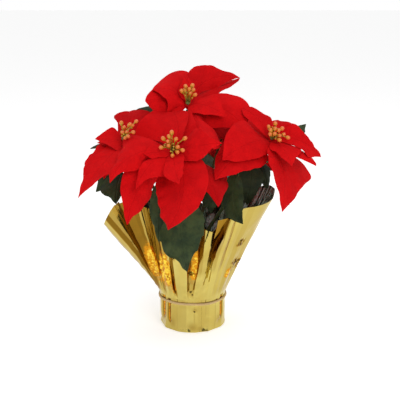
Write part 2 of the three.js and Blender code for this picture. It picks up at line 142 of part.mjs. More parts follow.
// rim of the foil collar: [angle at the neck in degrees, x, y, z]
const RIM = [
  [0, 136.5, 8, 227.5],
  [-12, 130, -16, 218.4],
  [-25, 115.8, -34, 214.7],
  [-38, 97.3, -48, 213.5],
  [-50, 79.3, -58, 212.9],
  [-60, 64.8, -66, 206.9],
  [-66, 56.8, -70, 199.8],
  [-71, 49.3, -56, 197.5],
  [-74, 42.9, -58, 191.4],
  [-77, 39.5, -72, 182.3],
  [-81, 31.5, -78, 180.8],
  [-85, 23.6, -76, 181.8],
  [-89, 15.8, -62, 186],
  [-93, 4.6, -56, 184.2],
  [-98, -6.4, -70, 178.4],
  [-104, -20.6, -76, 180.2],
  [-110, -31.7, -70, 185],
  [-115, -38.4, -58, 191.4],
  [-122, -46.1, -64, 199.8],
  [-130, -55, -74, 209.1],
  [-137, -63.2, -66, 213.5],
  [-143, -71.4, -60, 215.1],
  [-150, -81.8, -70, 221.1],
  [-156, -93.2, -64, 224.4],
  [-162, -105.8, -64, 227.6],
  [-168, -120.8, -56, 220.6],
  [-174, -133.5, -44, 202.4],
  [-180, -143.9, -26, 178.9],
  [-186, -141.6, 0, 176.5],
  [-194, -133.6, 24, 183.6],
  [-206, -116.8, 48, 191.1],
  [-220, -85.8, 72, 206],
  [-234, -57.6, 79.3, 190],
  [-248, -41.2, 102, 196],
  [-260, -16.3, 92.6, 182],
  [-272, 3.7, 105.9, 188],
  [-285, 24.3, 90.8, 180],
  [-298, 51.6, 97.1, 190],
  [-312, 69.6, 77.3, 196],
  [-324, 118.6, 62, 221],
  [-336, 129.3, 46, 226.6],
  [-349, 134.5, 26, 228.1],
];

// ---------------------------------------------------------------- helpers
const V = (a) => new THREE.Vector3(a[0], a[1], a[2]);
const rad = (d) => (d * Math.PI) / 180;
const STATIONS = [0, 0.08, 0.2, 0.35, 0.5, 0.65, 0.8, 0.92, 1];

function station(v, s) {
  let i = 0;
  while (i < STATIONS.length - 2 && s >= STATIONS[i + 1]) i++;
  const h = STATIONS[i + 1] - STATIONS[i];
  const t = (s - STATIONS[i]) / h;
  const m = (j) => {
    const a = Math.max(j - 1, 0);
    const b = Math.min(j + 1, STATIONS.length - 1);
    return (v[b] - v[a]) / (STATIONS[b] - STATIONS[a]);
  };
  const t2 = t * t;
  const t3 = t2 * t;
  const r = (2 * t3 - 3 * t2 + 1) * v[i] + (t3 - 2 * t2 + t) * m(i) * h + (-2 * t3 + 3 * t2) * v[i + 1] + (t3 - t2) * m(i + 1) * h;
  return Math.max(r, 0);
}

// A bract or leaf's middle surface: a midrib arched between two points, with curled
// halves of their own width.
function sheetGrid(p, rows, half) {
  const [, , base, tip, axis, arch, bend, roll, twist, curl, wl, wr, pl, pr] = p;
  const P0 = V(base);
  const P1 = V(tip);
  const chord = P1.clone().sub(P0);
  const L = chord.length();
  const c = chord.clone().normalize();
  const S0 = c.clone().cross(V(axis).normalize()).normalize();
  const U0 = S0.clone().cross(c);
  const a = rad(arch);
  const b = rad(bend);
  const t0 = c.clone().multiplyScalar(Math.cos(a)).addScaledVector(U0, Math.sin(a)).multiplyScalar(Math.cos(b)).addScaledVector(S0, Math.sin(b)).normalize();
  const t1 = c.clone().multiplyScalar(2 * c.dot(t0)).sub(t0);
  const h = L * 0.36;
  const curve = new THREE.CubicBezierCurve3(P0, P0.clone().addScaledVector(t0, h), P1.clone().addScaledVector(t1, -h), P1);
  const grid = [];
  for (let i = 0; i <= rows; i++) {
    const s = i / rows;
    const M = curve.getPoint(s);
    const ds = 1e-3;
    const T = curve.getPoint(Math.min(s + ds, 1)).sub(curve.getPoint(Math.max(s - ds, 0))).normalize();
    let S = S0.clone().addScaledVector(T, -S0.dot(T)).normalize();
    let U = S.clone().cross(T);
    const r = rad(roll + twist * (s - 0.3));
    const S2 = S.clone().multiplyScalar(Math.cos(r)).addScaledVector(U, Math.sin(r));
    const U2 = U.clone().multiplyScalar(Math.cos(r)).addScaledVector(S, -Math.sin(r));
    S = S2;
    U = U2;
    const k = Math.abs(curl) > 1e-3 ? curl : 1e-3;
    const row = [];
    for (let j = -half; j <= half; j++) {
      const u = j / half;
      const w = Math.max((u > 0 ? wr : wl) * station(u > 0 ? pr : pl, s), 0.55);
      row.push(M.clone().addScaledVector(S, (w * Math.sin(k * u)) / k).addScaledVector(U, (-w * (1 - Math.cos(k * u))) / k));
    }
    grid.push(row);
  }
  return grid;
}

function fromTriangles(points, tris) {
  const pos = new Float32Array(tris.length * 3);
  tris.forEach((q, i) => points[q].toArray(pos, i * 3));
  const g = new THREE.BufferGeometry();
  g.setAttribute("position", new THREE.BufferAttribute(pos, 3));
  return g;
}

function signedVolume(g) {
  const p = g.getAttribute("position");
  const ix = g.index;
  const n = ix ? ix.count : p.count;
  const a = new THREE.Vector3();
  const b = new THREE.Vector3();
  const c = new THREE.Vector3();
  let v = 0;
  for (let i = 0; i < n; i += 3) {
    const [i0, i1, i2] = ix ? [ix.getX(i), ix.getX(i + 1), ix.getX(i + 2)] : [i, i + 1, i + 2];
    a.fromBufferAttribute(p, i0);
    b.fromBufferAttribute(p, i1);
    c.fromBufferAttribute(p, i2);
    v += a.dot(b.cross(c)) / 6;
  }
  return v;
}

function solid(geometry) {
  const g = geometry.index ? geometry.toNonIndexed() : geometry;
  for (const k of Object.keys(g.attributes)) if (k !== "position") g.deleteAttribute(k);
  const m = mergeVertices(g, 1e-4);
  const src = Array.from(m.index.array);
  const tri = [];
  for (let i = 0; i < src.length; i += 3) {
    if (src[i] !== src[i + 1] && src[i + 1] !== src[i + 2] && src[i] !== src[i + 2]) tri.push(src[i], src[i + 1], src[i + 2]);
  }
  m.setIndex(tri);
  if (signedVolume(m) < 0) {
    for (let i = 0; i < tri.length; i += 3) [tri[i + 1], tri[i + 2]] = [tri[i + 2], tri[i + 1]];
  }
  return new wasm.Manifold(new wasm.Mesh({ numProp: 3, vertProperties: new Float32Array(m.getAttribute("position").array), triVerts: new Uint32Array(tri), tolerance: WELD }));
}

function biggest(m) {
  const parts = m.decompose();
  return parts.sort((a, b) => b.volume() - a.volume())[0];
}

function geometryOf(m) {
  const mesh = m.getMesh();
  const g = new THREE.BufferGeometry();
  const n = mesh.vertProperties.length / mesh.numProp;
  const pos = new Float32Array(n * 3);
  for (let i = 0; i < n; i++) for (let k = 0; k < 3; k++) pos[i * 3 + k] = mesh.vertProperties[i * mesh.numProp + k];
  g.setAttribute("position", new THREE.BufferAttribute(pos, 3));
  g.setIndex(Array.from(mesh.triVerts));
  return g;
}

const fuse = (list) => list.reduce((a, b) => a.add(b));

// A closed plate of the given thickness round a grid of points.
function plate(grid, thickness, firstNormal) {
  const R = grid.length;
  const C = grid[0].length;
  const normal = (i, j) => {
    const i0 = Math.max(i - 1, 0);
    const i1 = Math.min(i + 1, R - 1);
    const j0 = Math.max(j - 1, 0);
    const j1 = Math.min(j + 1, C - 1);
    const a = grid[i1][j].clone().sub(grid[i0][j]);
    const b = grid[i][j1].clone().sub(grid[i][j0]);
    return b.cross(a).normalize();
  };
  const N = grid.map((row, i) => row.map((_, j) => normal(i, j)));
  for (let j = 0; j < C; j++) N[R - 1][j] = N[R - 2][j].clone();
  if (firstNormal) for (let j = 0; j < C; j++) N[0][j] = firstNormal.clone();
  const pts = [];
  for (const s of [0.5, -0.5]) for (let i = 0; i < R; i++) for (let j = 0; j < C; j++) pts.push(grid[i][j].clone().addScaledVector(N[i][j], s * thickness));
  const id = (k, i, j) => k * R * C + i * C + j;
  const tris = [];
  const quad = (a, b, c, d) => tris.push(a, b, c, a, c, d);
  for (let i = 0; i < R - 1; i++) {
    for (let j = 0; j < C - 1; j++) {
      quad(id(0, i, j), id(0, i, j + 1), id(0, i + 1, j + 1), id(0, i + 1, j));
      quad(id(1, i, j), id(1, i + 1, j), id(1, i + 1, j + 1), id(1, i, j + 1));
    }
    quad(id(0, i, 0), id(0, i + 1, 0), id(1, i + 1, 0), id(1, i, 0));
    quad(id(0, i, C - 1), id(1, i, C - 1), id(1, i + 1, C - 1), id(0, i + 1, C - 1));
  }
  for (let j = 0; j < C - 1; j++) {
    quad(id(0, 0, j), id(1, 0, j), id(1, 0, j + 1), id(0, 0, j + 1));
    quad(id(0, R - 1, j), id(0, R - 1, j + 1), id(1, R - 1, j + 1), id(1, R - 1, j));
  }
  return solid(fromTriangles(pts, tris));
}

// A round bar along a list of points, with a radius at each.
function bar(points, radii, sides = 8) {
  const n = points.length;
  const T = points.map((p, i) => points[Math.min(i + 1, n - 1)].clone().sub(points[Math.max(i - 1, 0)]).normalize());
  let u = Math.abs(T[0].z) < 0.9 ? new THREE.Vector3(0, 0, 1) : new THREE.Vector3(1, 0, 0);
  const pts = [];
  for (let i = 0; i < n; i++) {
    u = u.clone().addScaledVector(T[i], -u.dot(T[i])).normalize();
    const v = T[i].clone().cross(u);
    for (let k = 0; k < sides; k++) {
      const a = (2 * Math.PI * k) / sides;
      pts.push(points[i].clone().addScaledVector(u, radii[i] * Math.cos(a)).addScaledVector(v, radii[i] * Math.sin(a)));
    }
  }
  pts.push(points[0].clone(), points[n - 1].clone());
  const tris = [];
  for (let i = 0; i < n - 1; i++) {
    for (let k = 0; k < sides; k++) {
      const a = i * sides + k;
      const b = i * sides + ((k + 1) % sides);
      tris.push(a, b, b + sides, a, b + sides, a + sides);
    }
  }
  for (let k = 0; k < sides; k++) {
    const b = (k + 1) % sides;
    tris.push(n * sides, b, k);
    tris.push(n * sides + 1, (n - 1) * sides + k, (n - 1) * sides + b);
  }
  return solid(fromTriangles(pts, tris));
}

// A turned piece from a closed profile of [radius, height], on a head's axis or the Z axis.
function turned(profile, segments, at, axis) {
  const g = new THREE.LatheGeometry([...profile, profile[0]].map(([r, z]) => new THREE.Vector2(r, z)), segments);
  const up = axis ?? new THREE.Vector3(0, 0, 1);
  g.applyQuaternion(new THREE.Quaternion().setFromUnitVectors(new THREE.Vector3(0, 1, 0), up));
  if (at) g.translate(at.x, at.y, at.z);
  return solid(g);
}

const seat = (k) => V(HEADS[k][0]);
const axisOf = (k) => V(HEADS[k][1]).normalize();

// ---------------------------------------------------------------- pieces
const root = new THREE.Group();
const tint = (hex, roughness, metalness = 0) => new THREE.MeshStandardMaterial({ color: hex, roughness, metalness });
const RED = tint(0xc01018, 0.85);
const GREEN = tint(0x33422b, 0.8);
const GOLD = tint(0xd8b040, 0.18, 1);
const BERRY = tint(0xc8742a, 0.45);
const PLASTIC = tint(0x3d5a30, 0.5);
const POT = tint(0x5a3a28, 0.5);
const PLASTER = tint(0xcfc8ba, 0.9);
const TWINE = tint(0xa07850, 0.9);

function put(name, m, material) {
  const mesh = new THREE.Mesh(geometryOf(m), material);
  mesh.name = name;
  root.add(mesh);
}

// foil wrap: flat bottom, straight wall, cord groove, then the flared and folded collar
function rimPoint(phi) {
  const n = RIM.length;
  const q = (((-phi % 360) + 360) % 360);
  const at = (i) => {
    const k = ((i % n) + n) % n;
    const turns = Math.floor(i / n);
    return [-RIM[k][0] + 360 * turns, V(RIM[k].slice(1))];
  };
  let i = -1;
  while (at(i + 1)[0] <= q) i++;
  const [xa, a] = at(i - 1);
  const [xb, b] = at(i);
  const [xc, c] = at(i + 1);
  const [xd, d] = at(i + 2);
  const h = xc - xb;
  const t = (q - xb) / h;
  const m0 = c.clone().sub(a).multiplyScalar((0.85 * h) / (xc - xa));
  const m1 = d.clone().sub(b).multiplyScalar((0.85 * h) / (xd - xb));
  const t2 = t * t;
  const t3 = t2 * t;
  return b.clone().multiplyScalar(2 * t3 - 3 * t2 + 1).addScaledVector(m0, t3 - 2 * t2 + t).addScaledVector(c, -2 * t3 + 3 * t2).addScaledVector(m1, t3 - t2);
}

function foilWrap() {
  const COLS = 62;
  const ROWS = 3;
  // columns are spread evenly along the rim, with a share for the neck
  const fine = 1440;
  const cum = [0];
  let last = rimPoint(0);
  for (let i = 1; i <= fine; i++) {
    const p = rimPoint((-360 * i) / fine);
    cum.push(cum[i - 1] + p.distanceTo(last) + (NECK_Z * Math.PI * 2) / fine);
    last = p;
  }
  const phis = [];
  let k = 0;
  for (let c = 0; c < COLS; c++) {
    const want = (cum[fine] * c) / COLS;
    while (cum[k + 1] < want) k++;
    phis.push((-360 * (k + (want - cum[k]) / (cum[k + 1] - cum[k]))) / fine);
  }
  const ring = (r, z) => phis.map((f) => new THREE.Vector3(r * Math.cos(rad(f)), r * Math.sin(rad(f)), z));
  const outer = [ring(WRAP_R - 1.5, 0), ring(WRAP_R, 1.5), ring(WRAP_R, TIE_Z - 4), ring(WRAP_R - GROOVE, TIE_Z - 1), ring(WRAP_R - GROOVE, TIE_Z + 1), ring(WRAP_R, TIE_Z + 4)];
  const neck = ring(WRAP_R + 0.6, NECK_Z);
  for (let r = 0; r <= ROWS; r++) {
    const t = r / ROWS;
    outer.push(phis.map((f, i) => {
      const E = rimPoint(f);
      const N = neck[i];
      const mid = N.clone().multiplyScalar(0.62).addScaledVector(E, 0.38);
      mid.z += 3;
      return N.clone().multiplyScalar((1 - t) ** 2).addScaledVector(mid, 2 * t * (1 - t)).addScaledVector(E, t * t);
    }));
  }
  const R = outer.length;
  const C = COLS;
  const normal = (i, j) => {
    const i0 = Math.max(i - 1, 0);
    const i1 = Math.min(i + 1, R - 1);
    const a = outer[i1][j].clone().sub(outer[i0][j]);
    const b = outer[i][(j + 1) % C].clone().sub(outer[i][(j + C - 1) % C]);
    const n = a.cross(b).normalize();
    return n;
  };
  const N = outer.map((row, i) => row.map((_, j) => normal(i, j)));
  // the normals point out of the wrap
  const flip = N[2][0].dot(new THREE.Vector3(outer[2][0].x, outer[2][0].y, 0)) < 0 ? -1 : 1;
  const inner = outer.map((row, i) => row.map((p, j) => {
    if (i === 0) return new THREE.Vector3(p.x * 0.985, p.y * 0.985, FOIL);
    if (i === 1) { const q = p.clone().multiplyScalar((WRAP_R - FOIL) / WRAP_R); q.z = 1.9; return q; }
    return p.clone().addScaledVector(N[i][j], -flip * FOIL);
  }));
  const pts = [];
  outer.forEach((r) => pts.push(...r));
  inner.forEach((r) => pts.push(...r));
  const oc = pts.push(new THREE.Vector3(0, 0, 0)) - 1;
  const ic = pts.push(new THREE.Vector3(0, 0, FOIL)) - 1;
  const tris = [];
  const o = (i, j) => i * C + (j % C);
  const n = (i, j) => R * C + i * C + (j % C);
  for (let i = 0; i < R - 1; i++) {
    for (let j = 0; j < C; j++) {
      tris.push(o(i, j), o(i, j + 1), o(i + 1, j + 1), o(i, j), o(i + 1, j + 1), o(i + 1, j));
      tris.push(n(i, j), n(i + 1, j + 1), n(i, j + 1), n(i, j), n(i + 1, j), n(i + 1, j + 1));
    }
  }
  for (let j = 0; j < C; j++) {
    tris.push(o(R - 1, j), o(R - 1, j + 1), n(R - 1, j + 1), o(R - 1, j), n(R - 1, j + 1), n(R - 1, j));
    tris.push(oc, o(0, j + 1), o(0, j));
    tris.push(ic, n(0, j), n(0, j + 1));
  }
  return solid(fromTriangles(pts, tris));
}
put("foil_wrap", foilWrap(), GOLD);

// tie cord: one closed loop in the groove, with its knot at the back
{
  const loop = new THREE.TorusGeometry(WRAP_R - GROOVE + 0.4 + CORD_R, CORD_R, 5, 36);
  loop.translate(0, 0, TIE_Z);
  const knot = new THREE.IcosahedronGeometry(3.0, 0);
  knot.translate(0, WRAP_R + 3.9, TIE_Z);
  put("tie_cord", solid(loop).add(solid(knot)), TWINE);
}

// pot, tapered, with a rolled lip
put("pot", turned([[0, 1.2], [POT_R_BASE - 2, 1.2], [POT_R_BASE, 3], [POT_R_TOP, POT_H - 8], [POT_LIP_R, POT_H - 7.5], [POT_LIP_R, POT_H], [POT_R_TOP - POT_WALL, POT_H], [POT_R_TOP - POT_WALL, POT_H - 8], [POT_R_BASE - POT_WALL, 1.2 + POT_WALL], [0, 1.2 + POT_WALL]], 36), POT);

// weighted filling round the trunk
{
  const rTop = POT_R_BASE - POT_WALL + ((POT_R_TOP - POT_R_BASE) * (FILL_TOP - 3)) / (POT_H - 11);
  put("filling", turned([[TRUNK_R + 0.4, 3.8], [POT_R_BASE - POT_WALL - 0.6, 3.8], [rTop - 0.6, FILL_TOP], [TRUNK_R + 0.4, FILL_TOP + 1.5]], 24), PLASTER);
}

// stem bush: trunk and one branch to each head
const branchCurve = {};
{
  const trunkTop = 128;
  const trunk = bar([[0, 0, 3.9], [0, 0, 60], [0, 0, 100], [0, 0, trunkTop - 8], [0, 0, trunkTop]].map(V), [TRUNK_R, TRUNK_R, TRUNK_R, TRUNK_R - 0.5, TRUNK_R - 3], 12);
  const list = [trunk];
  for (const [k, z0, lean, droop] of BRANCHES) {
    const P = seat(k);
    const N = axisOf(k);
    const end = P.clone().addScaledVector(N, SHOULDER - 1);
    const curve = new THREE.CubicBezierCurve3(new THREE.Vector3(0, 0, z0), V(lean), P.clone().addScaledVector(N, SHOULDER - droop), end);
    branchCurve[k] = curve;
    const pts = curve.getPoints(7);
    list.push(bar(pts, pts.map((_, i) => BRANCH_R + 0.9 * Math.max(0, 1 - i / 3)), 5));
    // shoulder and tip
    list.push(bar([P.clone().addScaledVector(N, SHOULDER - 5), P.clone().addScaledVector(N, SHOULDER - 1.2), P.clone().addScaledVector(N, SHOULDER)], [BRANCH_R * 0.9, 3.4, 3.4], 6));
    list.push(bar([P.clone().addScaledVector(N, SHOULDER - 3), P.clone().addScaledVector(N, -0.6)], [TIP_R, TIP_R], 6));
  }
  put("stem_bush", fuse(list), PLASTIC);
}

// stamped layers of each head
const CLEAR = 0.6; // gap kept where one layer is notched for its neighbour
// which layer is notched by which: [head, layer, cutting head, cutting layer]
const NOTCHES = [["A", "L2", "A", "L"], ["A", "M", "A", "S"], ["B", "L", "B", "M"], ["B", "L", "C", "M"], ["C", "L2", "C", "L"], ["D", "L", "D", "M"], ["F", "L", "E", "L"], ["F", "L", "F", "M"], ["D", "L2", "D", "L"]];
function layerSolid(k, layer, extra) {
  const P = seat(k);
  const N = axisOf(k);
  const C = P.clone().addScaledVector(N, SEAT[layer]);
  const big = layer === "L" || layer === "L2";
  const rear = k === "E" || k === "F";
  const t = HUB_T / 2 + extra;
  const list = [turned([[0, -t], [HUB_R + extra, -t], [HUB_R + extra, t], [0, t]], 8, C, N)];
  for (const s of SHEETS.filter((q) => q[0][0] === k && q[1] === layer)) {
    const wide = [...s];
    wide[10] += extra;
    wide[11] += extra;
    list.push(plate(sheetGrid(wide, big && !rear ? 5 : 4, big && !rear ? 2 : 1), CLOTH + 2 * extra));
  }
  return fuse(list);
}
const LAYER = { L2: "lower_bracts", L: "large_bracts", M: "upper_bracts", S: "inner_bracts" };
const HEAD = { A: "front", B: "top", C: "right", D: "left", E: "back_right", F: "back_left" };
for (const k of Object.keys(HEADS)) {
  const P = seat(k);
  const N = axisOf(k);
  for (const layer of ["L2", "L", "M", "S"]) {
    const mine = SHEETS.filter((s) => s[0][0] === k && s[1] === layer);
    if (!mine.length) continue;
    const C = P.clone().addScaledVector(N, SEAT[layer]);
    let m = layerSolid(k, layer, 0);
    for (const [h, l, h2, l2] of NOTCHES) if (h === k && l === layer) m = m.subtract(layerSolid(h2, l2, CLEAR));
    const hole = turned([[0, -5], [HUB_HOLE, -5], [HUB_HOLE, 16], [0, 16]], 8, C, N);
    put(`${HEAD[k]}_${LAYER[layer]}`, biggest(m.subtract(hole)), RED);
  }
  // flower cluster: a small base, stalks and berries
  const X = new THREE.Vector3(1, 0, 0).addScaledVector(N, -N.x).normalize();
  const Y = N.clone().cross(X);
  const list = [turned([[0, -0.25], [2.6, -0.25], [4.2, 1.6], [0, 3.2]], 9, P, N)];
  for (const [x, y, h] of BERRIES[k]) {
    const at = P.clone().addScaledVector(X, x).addScaledVector(Y, y).addScaledVector(N, h);
    const ball = new THREE.IcosahedronGeometry(BERRY_R * 1.06, 0);
    ball.rotateX(0.37 + x * 0.05);
    ball.rotateZ(0.53 + y * 0.05);
    ball.translate(at.x, at.y, at.z);
    list.push(solid(ball));
    const r = Math.hypot(x, y) || 1;
    const from = P.clone().addScaledVector(N, 1.2).addScaledVector(X, (2.6 * x) / r).addScaledVector(Y, (2.6 * y) / r);
    list.push(bar([from, at], [STALK_R, STALK_R], 3));
  }
  put(`${HEAD[k]}_flower`, biggest(fuse(list)), BERRY);
}

// green leaves, each with its own stalk up to a branch
for (const s of SHEETS.filter((q) => q[1] === "G")) {
  const g = sheetGrid(s, 5, 1);
  const b = g[0][1].clone();
  const t = V(s[3]).sub(V(s[2])).normalize();
  const [k, u] = STALKS[s[0]];
  const Q = branchCurve[k].getPoint(u);
  const d = Q.clone().sub(b);
  const along = branchCurve[k].getTangent(u);
  const sin = Math.max(0.45, along.clone().cross(d.clone().normalize()).length());
  const stop = Q.clone().addScaledVector(d.clone().normalize(), -((BRANCH_R + 0.9 * Math.max(0, 1 - (u * 7) / 3) + PETIOLE_R * 0.9) / sin + 0.5));
  const start = b.clone().addScaledVector(t, 6);
  put(`leaf_${s[0].slice(1)}`, biggest(plate(g, CLOTH).add(bar([stop, stop.clone().lerp(b, 0.6).addScaledVector(t, -Math.min(6, d.length() * 0.2)), b.clone().addScaledVector(t, 0.5), start], [PETIOLE_R, PETIOLE_R, PETIOLE_R, 0.7], 4))), GREEN);
}

export default root;
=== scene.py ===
import math

import bpy
import numpy as np
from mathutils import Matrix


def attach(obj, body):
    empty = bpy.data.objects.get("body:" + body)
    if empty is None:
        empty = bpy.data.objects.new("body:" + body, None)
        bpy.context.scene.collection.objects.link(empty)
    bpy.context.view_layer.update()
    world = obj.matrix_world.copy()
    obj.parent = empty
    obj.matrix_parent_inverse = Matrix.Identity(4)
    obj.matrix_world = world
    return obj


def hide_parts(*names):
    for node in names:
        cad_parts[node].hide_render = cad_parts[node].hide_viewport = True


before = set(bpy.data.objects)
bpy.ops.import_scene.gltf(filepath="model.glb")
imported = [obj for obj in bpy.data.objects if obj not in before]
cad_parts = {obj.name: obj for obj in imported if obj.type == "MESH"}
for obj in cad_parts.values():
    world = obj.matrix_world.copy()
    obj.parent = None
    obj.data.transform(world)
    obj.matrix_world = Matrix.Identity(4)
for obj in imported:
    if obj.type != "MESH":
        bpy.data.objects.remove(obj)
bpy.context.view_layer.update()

# ------------------------------------------------------------------ camera
cam_data = bpy.data.cameras.new("camera")
cam_data.sensor_width = 36.0
cam_data.lens = 84.7
cam_data.clip_start = 0.05
cam_data.clip_end = 60.0
camera = bpy.data.objects.new("camera", cam_data)
camera.location = (0.0126, -1.5, 0.606)
camera.rotation_euler = (math.radians(90 - 14.7), 0, 0)
bpy.context.scene.collection.objects.link(camera)
bpy.context.scene.camera = camera

# ------------------------------------------------------------------ driving dimensions, mm
CLOTH = 0.5  # bract and leaf cloth
FILM = 0.22
WRAP_R = 55.0
NECK_Z = 58.0
TIE_Z = 50.0
CORD_R = 1.5
POT_H = 98.0
POT_R_TOP = 51.5
POT_R_BASE = 46.5
POT_WALL = 2.2
POT_LIP_R = 53.2
FILL_TOP = 62.0
TRUNK_R = 7.0
BRANCH_R = 2.6
TIP_R = 1.5
HUB_R = 4.6
PETIOLE_R = 1.1
BERRY_R = 3.45
STALK_R = 0.72
SEAT = {"S": -1.9, "M": -3.9, "L": -7.0, "L2": -10.0}
SHOULDER = -18.0

# ------------------------------------------------------------------ tables
# flower heads: seat point and axis
HEADS = {
    "A": [[-28.65, -90, 315.07], [-0.0997, -0.7376, 0.6678]],
    "B": [[-6.78, 10, 371.84], [0.0201, -0.6221, 0.7827]],
    "C": [[127.68, -20, 320.18], [0.2205, -0.6215, 0.7518]],
    "D": [[-106.61, -48, 324], [-0.2793, -0.5486, 0.788]],
    "E": [[52, 108, 300], [0.2806, 0.6213, 0.7316]],
    "F": [[-72, 88, 296], [-0.5, 0.45, 0.74]],
}
